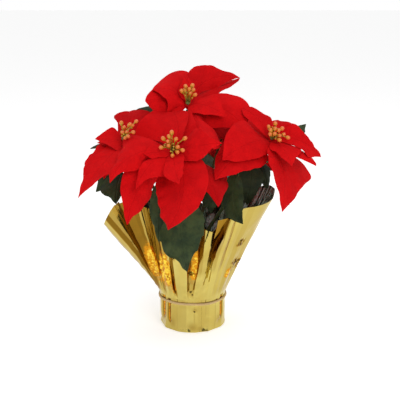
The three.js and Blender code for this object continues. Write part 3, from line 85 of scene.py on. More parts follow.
# bracts and leaves: name, layer, base, tip, up axis, arch, bend, roll, twist, curl, half widths left/right, width stations
SHEETS = [
    ["A1", "L", [-28.1, -86.8, 308.2], [-33, -213.8, 224.4], [-0.1, -0.738, 0.668], 4.8, -27.1, -15.4, -10, 0.4, 39.8, 54.4, [0.12, 0.43, 0.88, 0.96, 0.93, 0.8, 0.56, 0.24, 0], [0.12, 0.39, 0.81, 0.88, 0.85, 0.75, 0.59, 0.25, 0]],
    ["A2", "L2", [-29.1, -83.9, 305.9], [-95.4, -163, 217], [-0.1, -0.738, 0.668], 9.5, 22.8, 55.6, -9.8, 0.78, 42, 31.6, [0.1, 0.25, 0.56, 0.68, 0.89, 0.84, 0.49, 0.2, 0], [0.1, 0.36, 0.83, 1.01, 1.05, 0.84, 0.42, 0.18, 0]],
    ["A3", "L", [-30.3, -85.9, 308.9], [-118.9, -163.7, 281.1], [-0.1, -0.738, 0.668], 26, 36.7, 10.4, -22.9, 1.09, 23.9, 38.5, [0.1, 0.18, 0.4, 0.49, 0.91, 0.88, 0.36, 0.16, 0], [0.1, 0.58, 1.31, 1.6, 0.89, 0.44, 0.26, 0.15, 0]],
    ["A4", "L", [-28.6, -82.8, 312.5], [-46, 17.2, 349.4], [-0.1, -0.738, 0.668], 64.8, 37.7, 15.5, -58.9, -0.18, 59.8, 20, [0.1, 0.41, 0.93, 1.14, 1.08, 0.83, 0.5, 0.2, 0], [0.1, 0.27, 0.61, 0.75, 1.01, 0.86, 0.32, 0.14, 0]],
    ["A5", "M", [-25.7, -87.4, 312.6], [45.3, -124.4, 332.8], [-0.1, -0.738, 0.668], 20.2, 6.4, -4.1, -59.9, 0.41, 26.1, 20.7, [0.12, 0.53, 1.08, 1.17, 1.17, 0.89, 0.38, 0.18, 0], [0.12, 0.46, 0.95, 1.03, 1.1, 0.85, 0.36, 0.17, 0]],
    ["A6", "S", [-30.6, -89, 313.1], [-71.5, -116.2, 314.3], [-0.1, -0.738, 0.668], 8.3, -1.4, -6.9, 38.4, 0.12, 14.9, 16.4, [0.1, 0.27, 0.61, 0.74, 0.65, 0.6, 0.63, 0.25, 0], [0.1, 0.32, 0.72, 0.88, 0.91, 0.82, 0.58, 0.22, 0]],
    ["A7", "M", [-29.9, -88.4, 310.8], [-82.1, -149.1, 268.4], [-0.1, -0.738, 0.668], 26, 16.9, 8.2, -14.4, 0.14, 27.9, 12.6, [0.1, 0.48, 1.1, 1.34, 1.19, 0.8, 0.31, 0.14, 0], [0.1, 0.2, 0.47, 0.57, 0.77, 0.77, 0.46, 0.19, 0]],
    ["A8", "S", [-28.1, -90.1, 312.1], [-17.8, -176.5, 282.7], [-0.1, -0.738, 0.668], 8.1, 4.4, -6.3, -18, -0.09, 18.2, 19.7, [0.1, 0.34, 0.78, 0.95, 0.83, 0.69, 0.56, 0.22, 0], [0.1, 0.24, 0.54, 0.66, 0.87, 0.92, 0.66, 0.24, 0]],
    ["A10", "L2", [-26, -84.4, 306.7], [39.7, -132.5, 236.4], [-0.1, -0.738, 0.668], -4.6, -34.9, 48.5, -37.7, 0.52, 52.3, 29, [0.1, 0.4, 0.9, 1.1, 1.14, 0.88, 0.39, 0.17, 0], [0.1, 0.33, 0.76, 0.92, 0.93, 0.73, 0.35, 0.16, 0]],
    ["A11", "L2", [-27.5, -80.6, 310.6], [-3.3, -17.3, 364.9], [-0.1, -0.738, 0.668], 24.8, -0.9, 13.8, 16.2, 0.13, 26.9, 26.5, [0.1, 0.35, 0.81, 0.98, 0.95, 0.79, 0.51, 0.2, 0], [0.1, 0.42, 0.95, 1.16, 0.97, 0.71, 0.42, 0.18, 0]],
    ["B1a", "L", [-4.6, 15.8, 367.5], [80.1, 89.1, 402.1], [0.02, -0.622, 0.783], 15.9, -44.7, -48.2, 44, 0.14, 29.8, 21.4, [0.1, 0.36, 0.82, 1, 0.98, 0.74, 0.38, 0.17, 0], [0.1, 0.18, 0.4, 0.49, 0.72, 0.77, 0.5, 0.2, 0]],
    ["B1b", "L2", [-4.6, 17.7, 365.1], [80.7, 102, 400.4], [0.02, -0.622, 0.783], 3.3, -3.5, 13.2, 31.3, 0.49, 33.5, 12.1, [0.1, 0.37, 0.85, 1.04, 1.16, 1.18, 1.13, 0.94, 0], [0.1, 0.36, 0.82, 1, 0.88, 0.9, 0.85, 0.55, 0]],
    ["B2a", "L", [-9.3, 15.8, 367.6], [-64.5, 6.1, 393.5], [0.02, -0.622, 0.783], 28.3, 35.8, 2.4, -49.6, 0.36, 34.5, 46.6, [0.1, 0.41, 0.93, 1.13, 0.86, 0.68, 0.62, 0.25, 0], [0.1, 0.55, 1.26, 1.53, 1.33, 0.98, 0.53, 0.2, 0]],
    ["B2b", "L2", [-9.8, 15.3, 366.4], [-75, -9.5, 378.1], [0.02, -0.622, 0.783], 7.9, 14.2, 16.3, 7.5, 0.46, 30, 30, [0.1, 0.5, 0.8, 0.82, 0.8, 0.76, 0.62, 0.36, 0], [0.1, 0.4, 0.8, 0.98, 1.02, 0.9, 0.6, 0.32, 0]],
    ["B2c", "M", [-7, 14.5, 370.4], [-10.3, 38.5, 415.1], [0.02, -0.622, 0.783], 20.5, 7.3, -22.4, -3.3, 0.29, 15.2, 12.3, [0.1, 0.41, 0.93, 1.14, 0.95, 0.69, 0.42, 0.18, 0], [0.1, 0.31, 0.7, 0.85, 0.89, 0.77, 0.45, 0.19, 0]],
    ["B4", "M", [-4.6, 11.4, 367.9], [53.6, -31.7, 356.1], [0.02, -0.622, 0.783], 35.6, 1.7, -0.1, -9.3, 0, 24.5, 22.3, [0.1, 0.31, 0.7, 0.85, 1.07, 0.96, 0.45, 0.18, 0], [0.1, 0.37, 0.83, 1.01, 0.91, 0.72, 0.45, 0.19, 0]],
    ["B5", "M", [-5.7, 10.6, 367.3], [33.5, -122.2, 321.7], [0.02, -0.622, 0.783], 4.8, 0.9, -0.7, 58.9, 1.14, 31.5, 16.1, [0.1, 0.19, 0.44, 0.53, 1.11, 1.36, 0.79, 0.26, 0], [0.1, 0.25, 0.57, 0.7, 0.71, 0.63, 0.45, 0.19, 0]],
    ["B6", "L", [-4.4, 13.1, 365.3], [85.7, -25.2, 332.5], [0.02, -0.622, 0.783], 33.5, -22.2, -4.2, -17, 0.38, 45.7, 38.5, [0.1, 0.26, 0.59, 0.72, 0.87, 0.87, 0.68, 0.25, 0], [0.1, 0.36, 0.82, 1, 0.96, 0.79, 0.49, 0.2, 0]],
    ["B7", "L2", [-7.1, 18.6, 365.9], [-11.4, 113, 388.7], [0.02, -0.622, 0.783], 16, 0, 0, 0, 0.45, 32, 32, [0.1, 0.36, 0.82, 1, 0.96, 0.79, 0.49, 0.2, 0], [0.1, 0.36, 0.82, 1, 0.96, 0.79, 0.49, 0.2, 0]],
    ["C1a", "L", [123.9, -17.4, 314.1], [46.4, -87.7, 299], [0.221, -0.621, 0.752], 28.6, 5.4, 12.7, 51.1, 0.18, 36.1, 42.2, [0.1, 0.26, 0.6, 0.73, 0.72, 0.65, 0.5, 0.21, 0], [0.1, 0.34, 0.78, 0.95, 0.91, 0.8, 0.61, 0.23, 0]],
    ["C1b", "L2", [123.4, -15.7, 311.7], [35.5, -103.3, 271.1], [0.221, -0.621, 0.752], 7.5, 16.1, -7.1, 2.9, 0.37, 35.8, 39.3, [0.1, 0.37, 0.83, 1.02, 0.88, 0.7, 0.47, 0.2, 0], [0.1, 0.39, 0.88, 1.07, 0.92, 0.7, 0.45, 0.19, 0]],
    ["C2", "M", [125.2, -16.3, 318.8], [76.8, -2.2, 367.3], [0.221, -0.621, 0.752], 34, -0.4, -7, 21.9, 0.03, 18.5, 22.2, [0.1, 0.27, 0.61, 0.74, 0.7, 0.66, 0.65, 0.25, 0], [0.1, 0.41, 0.93, 1.14, 0.83, 0.63, 0.55, 0.23, 0]],
    ["C3", "M", [128.9, -18.4, 315.9], [204.5, -38.9, 293.2], [0.221, -0.621, 0.752], 39.7, -14, -12, 19.6, -0.44, 17.9, 38.3, [0.1, 0.53, 1.21, 1.48, 0.97, 0.56, 0.29, 0.15, 0], [0.1, 0.11, 0.25, 0.31, 0.38, 0.52, 0.72, 0.28, 0]],
    ["C3b", "L2", [127.5, -15.2, 310.9], [192.5, -74.7, 286.6], [0.221, -0.621, 0.752], 11.1, -26.2, 42.8, -50.9, 1.01, 24.1, 23.1, [0.1, 0.29, 0.67, 0.81, 0.92, 0.84, 0.54, 0.21, 0], [0.1, 0.35, 0.8, 0.97, 0.87, 0.69, 0.44, 0.19, 0]],
    ["C4", "L", [126.5, -17.9, 313], [138.5, -106.6, 221.4], [0.221, -0.621, 0.752], 14.6, -14.9, 29.4, 8.7, 0.03, 51.2, 31, [0.1, 0.53, 1.22, 1.48, 1.04, 0.71, 0.42, 0.19, 0], [0.1, 0.34, 0.77, 0.94, 0.92, 0.75, 0.46, 0.19, 0]],
    ["C5", "M", [127.9, -19.2, 315.6], [154.5, -82.7, 288.4], [0.221, -0.621, 0.752], 19, -3.6, -4.7, 3.1, 0.16, 26, 17.3, [0.1, 0.29, 0.65, 0.79, 1.07, 1, 0.48, 0.19, 0], [0.1, 0.34, 0.79, 0.96, 0.81, 0.66, 0.52, 0.21, 0]],
    ["C6", "L", [127.7, -13.5, 316.3], [140.5, 46, 337.8], [0.221, -0.621, 0.752], 14, -21.3, 19, 24.8, 0.16, 28.1, 38.9, [0.1, 0.35, 0.8, 0.98, 0.93, 0.76, 0.48, 0.2, 0], [0.1, 0.36, 0.82, 1, 0.97, 0.84, 0.57, 0.22, 0]],
    ["C7", "L2", [125.5, -11.5, 314.6], [89.3, 52.9, 340], [0.221, -0.621, 0.752], 10, 1.6, 4.2, -2.1, 0.38, 30, 27.7, [0.1, 0.35, 0.81, 0.98, 0.95, 0.79, 0.5, 0.2, 0], [0.1, 0.35, 0.8, 0.98, 0.93, 0.77, 0.48, 0.2, 0]],
    ["D1", "L", [-104.7, -41.7, 320.2], [-95.9, 33.3, 356.6], [-0.279, -0.549, 0.788], 22.6, 7.2, -18.9, 14.4, -0.22, 28.7, 43.8, [0.1, 0.22, 0.51, 0.62, 0.9, 0.9, 0.5, 0.2, 0], [0.1, 0.36, 0.82, 1, 0.98, 0.83, 0.54, 0.21, 0]],
    ["D2a", "M", [-107.1, -47.2, 319.4], [-150.5, -62.4, 326.8], [-0.279, -0.549, 0.788], 7.9, 0.3, -2.3, -2.6, -0.26, 23.7, 21.7, [0.1, 0.44, 1, 1.22, 1.02, 0.77, 0.49, 0.2, 0], [0.1, 0.46, 1.05, 1.28, 1.07, 0.77, 0.44, 0.19, 0]],
    ["D2b", "L", [-107.3, -42.8, 318.5], [-149.9, -40.7, 316.2], [-0.279, -0.549, 0.788], 28.8, 0.6, -18, -5.3, 0.15, 19.7, 16.5, [0.1, 0.32, 0.72, 0.88, 0.96, 0.85, 0.53, 0.21, 0], [0.1, 0.37, 0.84, 1.03, 0.96, 0.77, 0.47, 0.2, 0]],
    ["D3a", "L", [-106.2, -46, 316.7], [-167.5, -155.6, 256.4], [-0.279, -0.549, 0.788], 20.9, -11, 3.2, -16.2, -0.1, 28.2, 27.2, [0.1, 0.36, 0.81, 0.99, 0.99, 0.79, 0.42, 0.18, 0], [0.1, 0.27, 0.61, 0.74, 0.97, 0.89, 0.45, 0.18, 0]],
    ["D3b", "L2", [-104.8, -44.7, 314.3], [-132, -121, 276.9], [-0.279, -0.549, 0.788], 19.3, 10.8, 28.8, -7, 0.15, 20.2, 20.5, [0.1, 0.36, 0.82, 1, 0.96, 0.79, 0.49, 0.2, 0], [0.1, 0.31, 0.71, 0.87, 0.96, 0.87, 0.53, 0.21, 0]],
    ["D3c", "L2", [-105.4, -44.3, 314.3], [-163.2, -110.1, 285.2], [-0.279, -0.549, 0.788], 12.3, 8.1, 16.8, -18.1, 0.26, 26.7, 24.2, [0.1, 0.36, 0.83, 1.01, 0.97, 0.79, 0.49, 0.2, 0], [0.1, 0.32, 0.74, 0.9, 0.75, 0.64, 0.55, 0.22, 0]],
    ["D4", "L2", [-103.9, -40, 317.8], [-97.1, 46.7, 337.7], [-0.279, -0.549, 0.788], 16, 0, 0, 0, 0.45, 28, 28, [0.1, 0.36, 0.82, 1, 0.96, 0.79, 0.49, 0.2, 0], [0.1, 0.36, 0.82, 1, 0.96, 0.79, 0.49, 0.2, 0]],
    ["E1", "L", [50.9, 105.7, 292.8], [70.3, 144.9, 192.3], [0.281, 0.621, 0.732], 15.6, 2.3, 14, 0, 0.4, 35, 35, [0.1, 0.36, 0.82, 1, 0.96, 0.79, 0.49, 0.2, 0], [0.1, 0.36, 0.82, 1, 0.96, 0.79, 0.49, 0.2, 0]],
    ["E2", "L", [47.8, 105.5, 294.1], [-43.2, 167.2, 239.8], [0.281, 0.621, 0.732], 19.7, 1.7, -0.8, -7.8, 0.17, 29.2, 32.6, [0.1, 0.33, 0.75, 0.91, 0.84, 0.7, 0.5, 0.21, 0], [0.1, 0.32, 0.73, 0.89, 0.88, 0.75, 0.5, 0.2, 0]],
    ["E3", "L", [47.6, 102.9, 296.4], [-30.3, 90.8, 334.4], [0.281, 0.621, 0.732], 23.7, 12.3, 7.4, -3.8, 0.22, 24.6, 42, [0.1, 0.34, 0.78, 0.95, 0.84, 0.67, 0.45, 0.19, 0], [0.1, 0.36, 0.81, 0.99, 0.97, 0.81, 0.49, 0.2, 0]],
    ["E4", "L", [50.8, 101.3, 296.6], [72.2, 21.5, 343.7], [0.281, 0.621, 0.732], 16, 0.7, 14, 0, 0.4, 38, 38, [0.1, 0.36, 0.82, 1, 0.96, 0.79, 0.49, 0.2, 0], [0.1, 0.36, 0.82, 1, 0.96, 0.79, 0.49, 0.2, 0]],
    ["E5", "L", [52.9, 103.2, 294.2], [146.5, 57.9, 244.6], [0.281, 0.621, 0.732], 15.6, 7.3, 14, 0, 0.4, 35, 35, [0.1, 0.36, 0.82, 1, 0.96, 0.79, 0.49, 0.2, 0], [0.1, 0.36, 0.82, 1, 0.96, 0.79, 0.49, 0.2, 0]],
    ["E1m", "M", [50.1, 107.9, 295.5], [29, 166.9, 247.2], [0.281, 0.621, 0.732], 20.2, 9.3, 6.2, 3.8, 0.3, 19.8, 21, [0.1, 0.34, 0.77, 0.94, 0.93, 0.79, 0.5, 0.2, 0], [0.1, 0.36, 0.82, 1, 0.96, 0.79, 0.49, 0.2, 0]],
    ["E2m", "M", [48, 106, 297.9], [-18.3, 122.8, 316.8], [0.281, 0.621, 0.732], 20.6, 7.3, 2.7, -5.2, 0.28, 17.4, 18.4, [0.1, 0.32, 0.72, 0.88, 0.87, 0.75, 0.49, 0.2, 0], [0.1, 0.36, 0.82, 1, 0.94, 0.76, 0.47, 0.2, 0]],
    ["E3m", "M", [50, 103.6, 299.2], [34.7, 75.9, 345], [0.281, 0.621, 0.732], 19.9, 2.8, 15.5, 6.2, 0.25, 17.1, 18.6, [0.1, 0.34, 0.78, 0.95, 0.97, 0.82, 0.5, 0.2, 0], [0.1, 0.37, 0.84, 1.02, 0.97, 0.79, 0.49, 0.2, 0]],
    ["E4m", "M", [53.2, 103.7, 297.8], [107.7, 61.8, 314.5], [0.281, 0.621, 0.732], 17, -0.8, 16.6, -0.5, 0.37, 21, 20.3, [0.1, 0.36, 0.82, 1, 0.96, 0.79, 0.49, 0.2, 0], [0.1, 0.35, 0.8, 0.98, 0.95, 0.79, 0.49, 0.2, 0]],
    ["E5m", "M", [53.3, 106.4, 295.5], [110.6, 121.2, 247.5], [0.281, 0.621, 0.732], 16.4, -0.4, 12.2, 0.4, 0.38, 22.2, 22, [0.1, 0.36, 0.83, 1.01, 0.96, 0.79, 0.49, 0.2, 0], [0.1, 0.36, 0.82, 1, 0.96, 0.79, 0.49, 0.2, 0]],
    ["F1", "L", [-70.2, 86.3, 288.8], [-109.6, 121.8, 187.9], [-0.5, 0.45, 0.74], 18, 0, 14, 0, 0.4, 36, 36, [0.1, 0.36, 0.82, 1, 0.96, 0.79, 0.49, 0.2, 0], [0.1, 0.36, 0.82, 1, 0.96, 0.79, 0.49, 0.2, 0]],
    ["F2", "L", [-70.9, 83.2, 290.2], [-138.2, 1, 254.1], [-0.5, 0.45, 0.74], 13.6, -13.9, 8.3, 1.6, 0.45, 34, 29.6, [0.1, 0.36, 0.82, 1, 0.96, 0.79, 0.49, 0.2, 0], [0.1, 0.32, 0.73, 0.89, 0.92, 0.79, 0.49, 0.2, 0]],
    ["F3", "L", [-68.3, 82.3, 292.5], [-60.4, -1.5, 337], [-0.5, 0.45, 0.74], 12.6, 7.5, 20.3, 0.5, 0.37, 31, 30.3, [0.1, 0.36, 0.82, 1, 0.96, 0.79, 0.49, 0.2, 0], [0.1, 0.35, 0.81, 0.98, 0.95, 0.79, 0.49, 0.2, 0]],
    ["F4", "L", [-66, 85.1, 292.4], [16.2, 76, 335.7], [-0.5, 0.45, 0.74], 16.8, 6.3, 14.2, 0.2, 0.4, 31.9, 32, [0.1, 0.36, 0.82, 1, 0.96, 0.79, 0.49, 0.2, 0], [0.1, 0.36, 0.82, 1, 0.96, 0.79, 0.49, 0.2, 0]],
    ["F5", "L", [-67.2, 87.5, 290.1], [-2.9, 162.6, 240.4], [-0.5, 0.45, 0.74], 17.5, 1.3, 12.7, 0.1, 0.4, 35, 35.2, [0.1, 0.36, 0.82, 1, 0.96, 0.79, 0.49, 0.2, 0], [0.1, 0.36, 0.82, 1, 0.96, 0.79, 0.49, 0.2, 0]],
    ["F1m", "M", [-72.6, 86.1, 291.5], [-131.8, 93.5, 243], [-0.5, 0.45, 0.74], 20.6, 11.5, 28, -7.8, 0.57, 18.3, 21, [0.1, 0.32, 0.72, 0.88, 0.93, 0.81, 0.49, 0.2, 0], [0.1, 0.36, 0.82, 1, 0.96, 0.79, 0.49, 0.2, 0]],
    ["F2m", "M", [-71.4, 83.7, 293.7], [-103.8, 31.5, 308.8], [-0.5, 0.45, 0.74], 19.1, 2.1, 7.7, -2.3, 0.35, 18.5, 20, [0.1, 0.34, 0.78, 0.95, 0.92, 0.76, 0.47, 0.2, 0], [0.1, 0.36, 0.82, 1, 0.96, 0.79, 0.49, 0.2, 0]],
    ["F3m", "M", [-68.4, 84.8, 295.1], [-41.1, 61.7, 339.8], [-0.5, 0.45, 0.74], 16.1, -0.7, 12.5, 0.1, 0.39, 18.1, 18, [0.1, 0.36, 0.82, 1, 0.96, 0.79, 0.49, 0.2, 0], [0.1, 0.36, 0.82, 1, 0.96, 0.79, 0.49, 0.2, 0]],
    ["F4m", "M", [-67.6, 87.9, 293.7], [-11.3, 117.8, 310.2], [-0.5, 0.45, 0.74], 19.6, -6.9, 12.8, 5.4, 0.34, 20.8, 18.6, [0.1, 0.37, 0.85, 1.03, 0.97, 0.78, 0.48, 0.2, 0], [0.1, 0.34, 0.78, 0.95, 0.93, 0.78, 0.49, 0.2, 0]],
    ["F5m", "M", [-70.2, 88.8, 291.5], [-69.1, 147.5, 243.9], [-0.5, 0.45, 0.74], 18.2, 3.8, 11.2, 0.4, 0.36, 20.3, 21, [0.1, 0.35, 0.79, 0.96, 0.94, 0.78, 0.49, 0.2, 0], [0.1, 0.36, 0.82, 1, 0.96, 0.79, 0.49, 0.2, 0]],
    ["G1", "G", [-18.5, -78, 252.3], [-7.8, -99.3, 121.6], [0, -0.954, 0.301], 25, 7.4, 14.4, 34.3, -0.3, 34.4, 33.3, [0.06, 0.32, 0.84, 1.08, 1.09, 0.92, 0.58, 0.23, 0], [0.06, 0.22, 0.58, 0.74, 1.11, 1.04, 0.47, 0.19, 0]],
    ["G2", "G", [-43.7, -66, 271.8], [-51.6, -92, 167], [-0.302, -0.905, 0.302], 12, 0, 0, 0, 0.35, 20, 20, [0.06, 0.3, 0.78, 1, 0.93, 0.74, 0.46, 0.2, 0], [0.06, 0.3, 0.78, 1, 0.93, 0.74, 0.46, 0.2, 0]],
    ["G3", "G", [72.7, -48, 277.4], [79.1, -102, 200.9], [0.1, -0.949, 0.3], -18.8, 23.5, -24, -29.9, 0.61, 18.3, 27.3, [0.06, 0.25, 0.64, 0.82, 0.84, 0.73, 0.48, 0.21, 0], [0.06, 0.2, 0.52, 0.66, 0.91, 0.89, 0.55, 0.22, 0]],
    ["G4", "G", [-115.1, -34, 274.2], [-154, -38.7, 235.9], [-0.503, -0.704, 0.503], 8.1, 2.7, 25.4, -4.1, 0.45, 17.5, 19.2, [0.06, 0.3, 0.77, 0.98, 0.86, 0.68, 0.46, 0.2, 0], [0.06, 0.3, 0.78, 1, 0.94, 0.75, 0.47, 0.2, 0]],
    ["G4b", "G", [-111.7, -38, 268.6], [-117.7, -89.4, 229.5], [-0.408, -0.816, 0.408], 16.9, 2.7, 13.9, -6.3, 0.21, 20, 26, [0.06, 0.3, 0.78, 1, 0.93, 0.74, 0.46, 0.2, 0], [0.06, 0.29, 0.75, 0.96, 1.11, 0.94, 0.45, 0.19, 0]],
    ["G5", "G", [96.9, -8, 281.6], [89.3, -16, 208.2], [0.303, -0.808, 0.505], 12, 0, 0, 0, 0.35, 24, 24, [0.06, 0.3, 0.78, 1, 0.93, 0.74, 0.46, 0.2, 0], [0.06, 0.3, 0.78, 1, 0.93, 0.74, 0.46, 0.2, 0]],
    ["G5b", "G", [111.8, 22, 275.1], [123, 4, 228.5], [0.503, -0.704, 0.503], 12, 0, 0, 0, 0.35, 16, 16, [0.06, 0.3, 0.78, 1, 0.93, 0.74, 0.46, 0.2, 0], [0.06, 0.3, 0.78, 1, 0.93, 0.74, 0.46, 0.2, 0]],
    ["G6", "G", [-40.5, 46, 351.2], [-93.3, 43.9, 354.9], [-0.303, -0.505, 0.808], 11.6, -0.4, -1, -0.9, 0.36, 16, 15.9, [0.06, 0.3, 0.78, 1, 0.93, 0.74, 0.46, 0.2, 0], [0.06, 0.3, 0.78, 1, 0.93, 0.74, 0.46, 0.2, 0]],
    ["G7", "G", [153.4, 14, 307], [190.3, 58, 329], [0.408, -0.408, 0.816], 7.8, -2.1, 11.2, 10.7, 0.47, 15.4, 14.8, [0.06, 0.3, 0.78, 1, 0.93, 0.74, 0.45, 0.2, 0], [0.06, 0.3, 0.78, 1, 0.93, 0.73, 0.44, 0.2, 0]],
    ["G8", "G", [-121.3, -26, 311.6], [-161.6, -38.2, 306], [-0.39, -0.488, 0.781], 11.9, 2.8, 2.8, 2.3, 0.34, 8, 8, [0.06, 0.3, 0.78, 1, 0.93, 0.74, 0.46, 0.2, 0], [0.06, 0.3, 0.78, 1, 0.93, 0.74, 0.46, 0.2, 0]],
    ["G9", "G", [150.1, 4, 270.6], [157.1, -24, 210.4], [0.408, -0.816, 0.408], 12, 0, 0, 0, 0.35, 16, 16, [0.06, 0.3, 0.78, 1, 0.93, 0.74, 0.46, 0.2, 0], [0.06, 0.3, 0.78, 1, 0.93, 0.74, 0.46, 0.2, 0]],
    ["G10", "G", [28.6, -34, 244.6], [30.3, -40, 201.3], [0.101, -0.909, 0.404], 12, 0, 0, 0, 0.35, 17, 17, [0.06, 0.3, 0.78, 1, 0.93, 0.74, 0.46, 0.2, 0], [0.06, 0.3, 0.78, 1, 0.93, 0.74, 0.46, 0.2, 0]],
    ["G11", "G", [-6, 66, 252], [-18, 128, 200], [0, 0.8, 0.6], 12, 0, 0, 0, 0.35, 25, 25, [0.06, 0.3, 0.78, 1, 0.93, 0.74, 0.46, 0.2, 0], [0.06, 0.3, 0.78, 1, 0.93, 0.74, 0.46, 0.2, 0]],
    ["G12", "G", [60, 72, 240], [112, 108, 198], [0.609, 0.609, 0.508], 12, 0, 0, 0, 0.35, 23, 23, [0.06, 0.3, 0.78, 1, 0.93, 0.74, 0.46, 0.2, 0], [0.06, 0.3, 0.78, 1, 0.93, 0.74, 0.46, 0.2, 0]],
    ["G13", "G", [-66, 58, 238], [-124, 84, 202], [-0.704, 0.503, 0.503], 12, 0, 0, 0, 0.35, 22, 22, [0.06, 0.3, 0.78, 1, 0.93, 0.74, 0.46, 0.2, 0], [0.06, 0.3, 0.78, 1, 0.93, 0.74, 0.46, 0.2, 0]],
    ["G14", "G", [19.5, 86, 275.2], [44, 142, 200], [0.207, 0.83, 0.518], 12, 0, 0, 0, 0.35, 26, 26, [0.06, 0.3, 0.78, 1, 0.93, 0.74, 0.46, 0.2, 0], [0.06, 0.3, 0.78, 1, 0.93, 0.74, 0.46, 0.2, 0]],
]
# berries of each head in its own frame: across, along, height
BERRIES = {
    "A": [[-12.3, 8.4, 21], [-15.5, -5.4, 18], [-4.9, 2.4, 22], [-3.3, 9.6, 24], [1.2, 15.2, 26], [7.2, 5, 23], [20.9, 6.2, 22], [-4.2, -3.8, 19.5], [9.6, -7.1, 20], [17, -11.9, 18], [8.9, -13.7, 16.5], [1.2, -17.7, 14]],
    "B": [[-4.2, 10.9, 27], [6.5, 12, 28], [-10.3, 3.6, 24], [-5.7, 7.8, 21], [1.8, 6.3, 25.5], [8, 7.3, 23], [3.9, 2.4, 20], [11, -1.5, 21]],
    "C": [[-12, 2.6, 23], [-1.5, 9.1, 25], [-1.6, 0.8, 22], [-8.1, -2, 20], [4.5, -2, 22.5], [9.2, 0.8, 25], [-8.4, -7.8, 17.5], [-1.6, -6.6, 18.5], [6.5, -9.2, 19], [12.6, -7.2, 21], [6.7, -15.7, 16], [19.5, -11.7, 20]],
    "D": [[3.7, 11.3, 24], [7.5, 2.9, 21.5], [18.2, 2.7, 25], [21.6, 2.1, 22], [29, 5.5, 26], [11.4, -6.2, 19], [24.8, -15.5, 25], [4.1, -4.1, 18], [16.3, -21.3, 24], [10.6, -20.3, 21]],
    "E": [[3.3, 0, 20], [-3.9, 3.6, 23], [0.6, -6.7, 18], [4.9, 6.3, 22], [-8.9, -1.5, 17], [8.4, -5.4, 20], [-2.7, 10.4, 23], [-5.4, -10.2, 18]],
    "F": [[3, 1.3, 20], [-5, 1.8, 23], [3.2, -6, 18], [2, 7.7, 22], [-7.6, -4.9, 17], [9.8, -1.7, 20], [-6.6, 8.5, 23], [-1, -11.5, 18]],
}
# branches: head, height on the trunk, lean point, droop
BRANCHES = [
    ["A", 112, [-6, -6, 190], 56],
    ["B", 118, [-3, 14, 230], 62],
    ["C", 108, [36, 10, 196], 56],
    ["D", 104, [-32, 2, 196], 56],
    ["E", 100, [14, 26, 185], 56],
    ["F", 96, [-20, 22, 180], 56],
]
# leaf stalks: leaf -> branch, position along it
STALKS = {
    "G1": ["A", 0.64],
    "G2": ["A", 0.75],
    "G3": ["C", 0.47],
    "G4": ["D", 0.77],
    "G4b": ["D", 0.74],
    "G5": ["C", 0.77],
    "G5b": ["C", 0.74],
    "G6": ["B", 0.88],
    "G7": ["C", 0.93],
    "G8": ["D", 0.93],
    "G9": ["C", 0.77],
    "G10": ["A", 0.56],
    "G11": ["F", 0.69],
    "G12": ["E", 0.64],
    "G13": ["F", 0.66],
    "G14": ["E", 0.83],
}
# rim of the foil collar: angle at the neck in degrees, x, y, z
RIM = [
    [0, 136.5, 8, 227.5],
    [-12, 130, -16, 218.4],
    [-25, 115.8, -34, 214.7],
    [-38, 97.3, -48, 213.5],
    [-50, 79.3, -58, 212.9],
    [-60, 64.8, -66, 206.9],
    [-66, 56.8, -70, 199.8],
    [-71, 49.3, -56, 197.5],
    [-74, 42.9, -58, 191.4],
    [-77, 39.5, -72, 182.3],
    [-81, 31.5, -78, 180.8],
    [-85, 23.6, -76, 181.8],
    [-89, 15.8, -62, 186],
    [-93, 4.6, -56, 184.2],
    [-98, -6.4, -70, 178.4],
    [-104, -20.6, -76, 180.2],
    [-110, -31.7, -70, 185],
    [-115, -38.4, -58, 191.4],
    [-122, -46.1, -64, 199.8],
    [-130, -55, -74, 209.1],
    [-137, -63.2, -66, 213.5],
    [-143, -71.4, -60, 215.1],
    [-150, -81.8, -70, 221.1],
    [-156, -93.2, -64, 224.4],
    [-162, -105.8, -64, 227.6],
    [-168, -120.8, -56, 220.6],
    [-174, -133.5, -44, 202.4],
    [-180, -143.9, -26, 178.9],
    [-186, -141.6, 0, 176.5],
    [-194, -133.6, 24, 183.6],
    [-206, -116.8, 48, 191.1],
    [-220, -85.8, 72, 206],
    [-234, -57.6, 79.3, 190],
    [-248, -41.2, 102, 196],
    [-260, -16.3, 92.6, 182],
    [-272, 3.7, 105.9, 188],
    [-285, 24.3, 90.8, 180],
    [-298, 51.6, 97.1, 190],
    [-312, 69.6, 77.3, 196],
    [-324, 118.6, 62, 221],
    [-336, 129.3, 46, 226.6],
    [-349, 134.5, 26, 228.1],
]

# ------------------------------------------------------------------ numbers and noise
STATIONS = np.array([0, 0.08, 0.2, 0.35, 0.5, 0.65, 0.8, 0.92, 1.0])
UP = np.array([0.0, 0.0, 1.0])


def unit(v):
    v = np.asarray(v, float)
    return v / np.maximum(np.linalg.norm(v, axis=-1, keepdims=True), 1e-12)


def smooth(a, b, x):
    t = np.clip((np.asarray(x, float) - a) / (b - a), 0, 1)
    return t * t * (3 - 2 * t)


def lattice(i, j, seed):
    """A fixed value from -1 to 1 for each pair of whole numbers."""
    n = (i.astype(np.int64) * 374761393 + j.astype(np.int64) * 668265263 + seed * 1442695041) & 0xFFFFFFFF
    n = ((n ^ (n >> 13)) * 1274126177) & 0xFFFFFFFF
    n = n ^ (n >> 16)
    return (n & 0xFFFFFF) / 8388607.5 - 1.0


def noise(x, y, seed):
    x, y = np.broadcast_arrays(np.asarray(x, float), np.asarray(y, float))
    i, j = np.floor(x), np.floor(y)
    fx, fy = x - i, y - j
    fx, fy = fx * fx * (3 - 2 * fx), fy * fy * (3 - 2 * fy)
    a = lattice(i, j, seed) * (1 - fx) + lattice(i + 1, j, seed) * fx
    b = lattice(i, j + 1, seed) * (1 - fx) + lattice(i + 1, j + 1, seed) * fx
    return a * (1 - fy) + b * fy


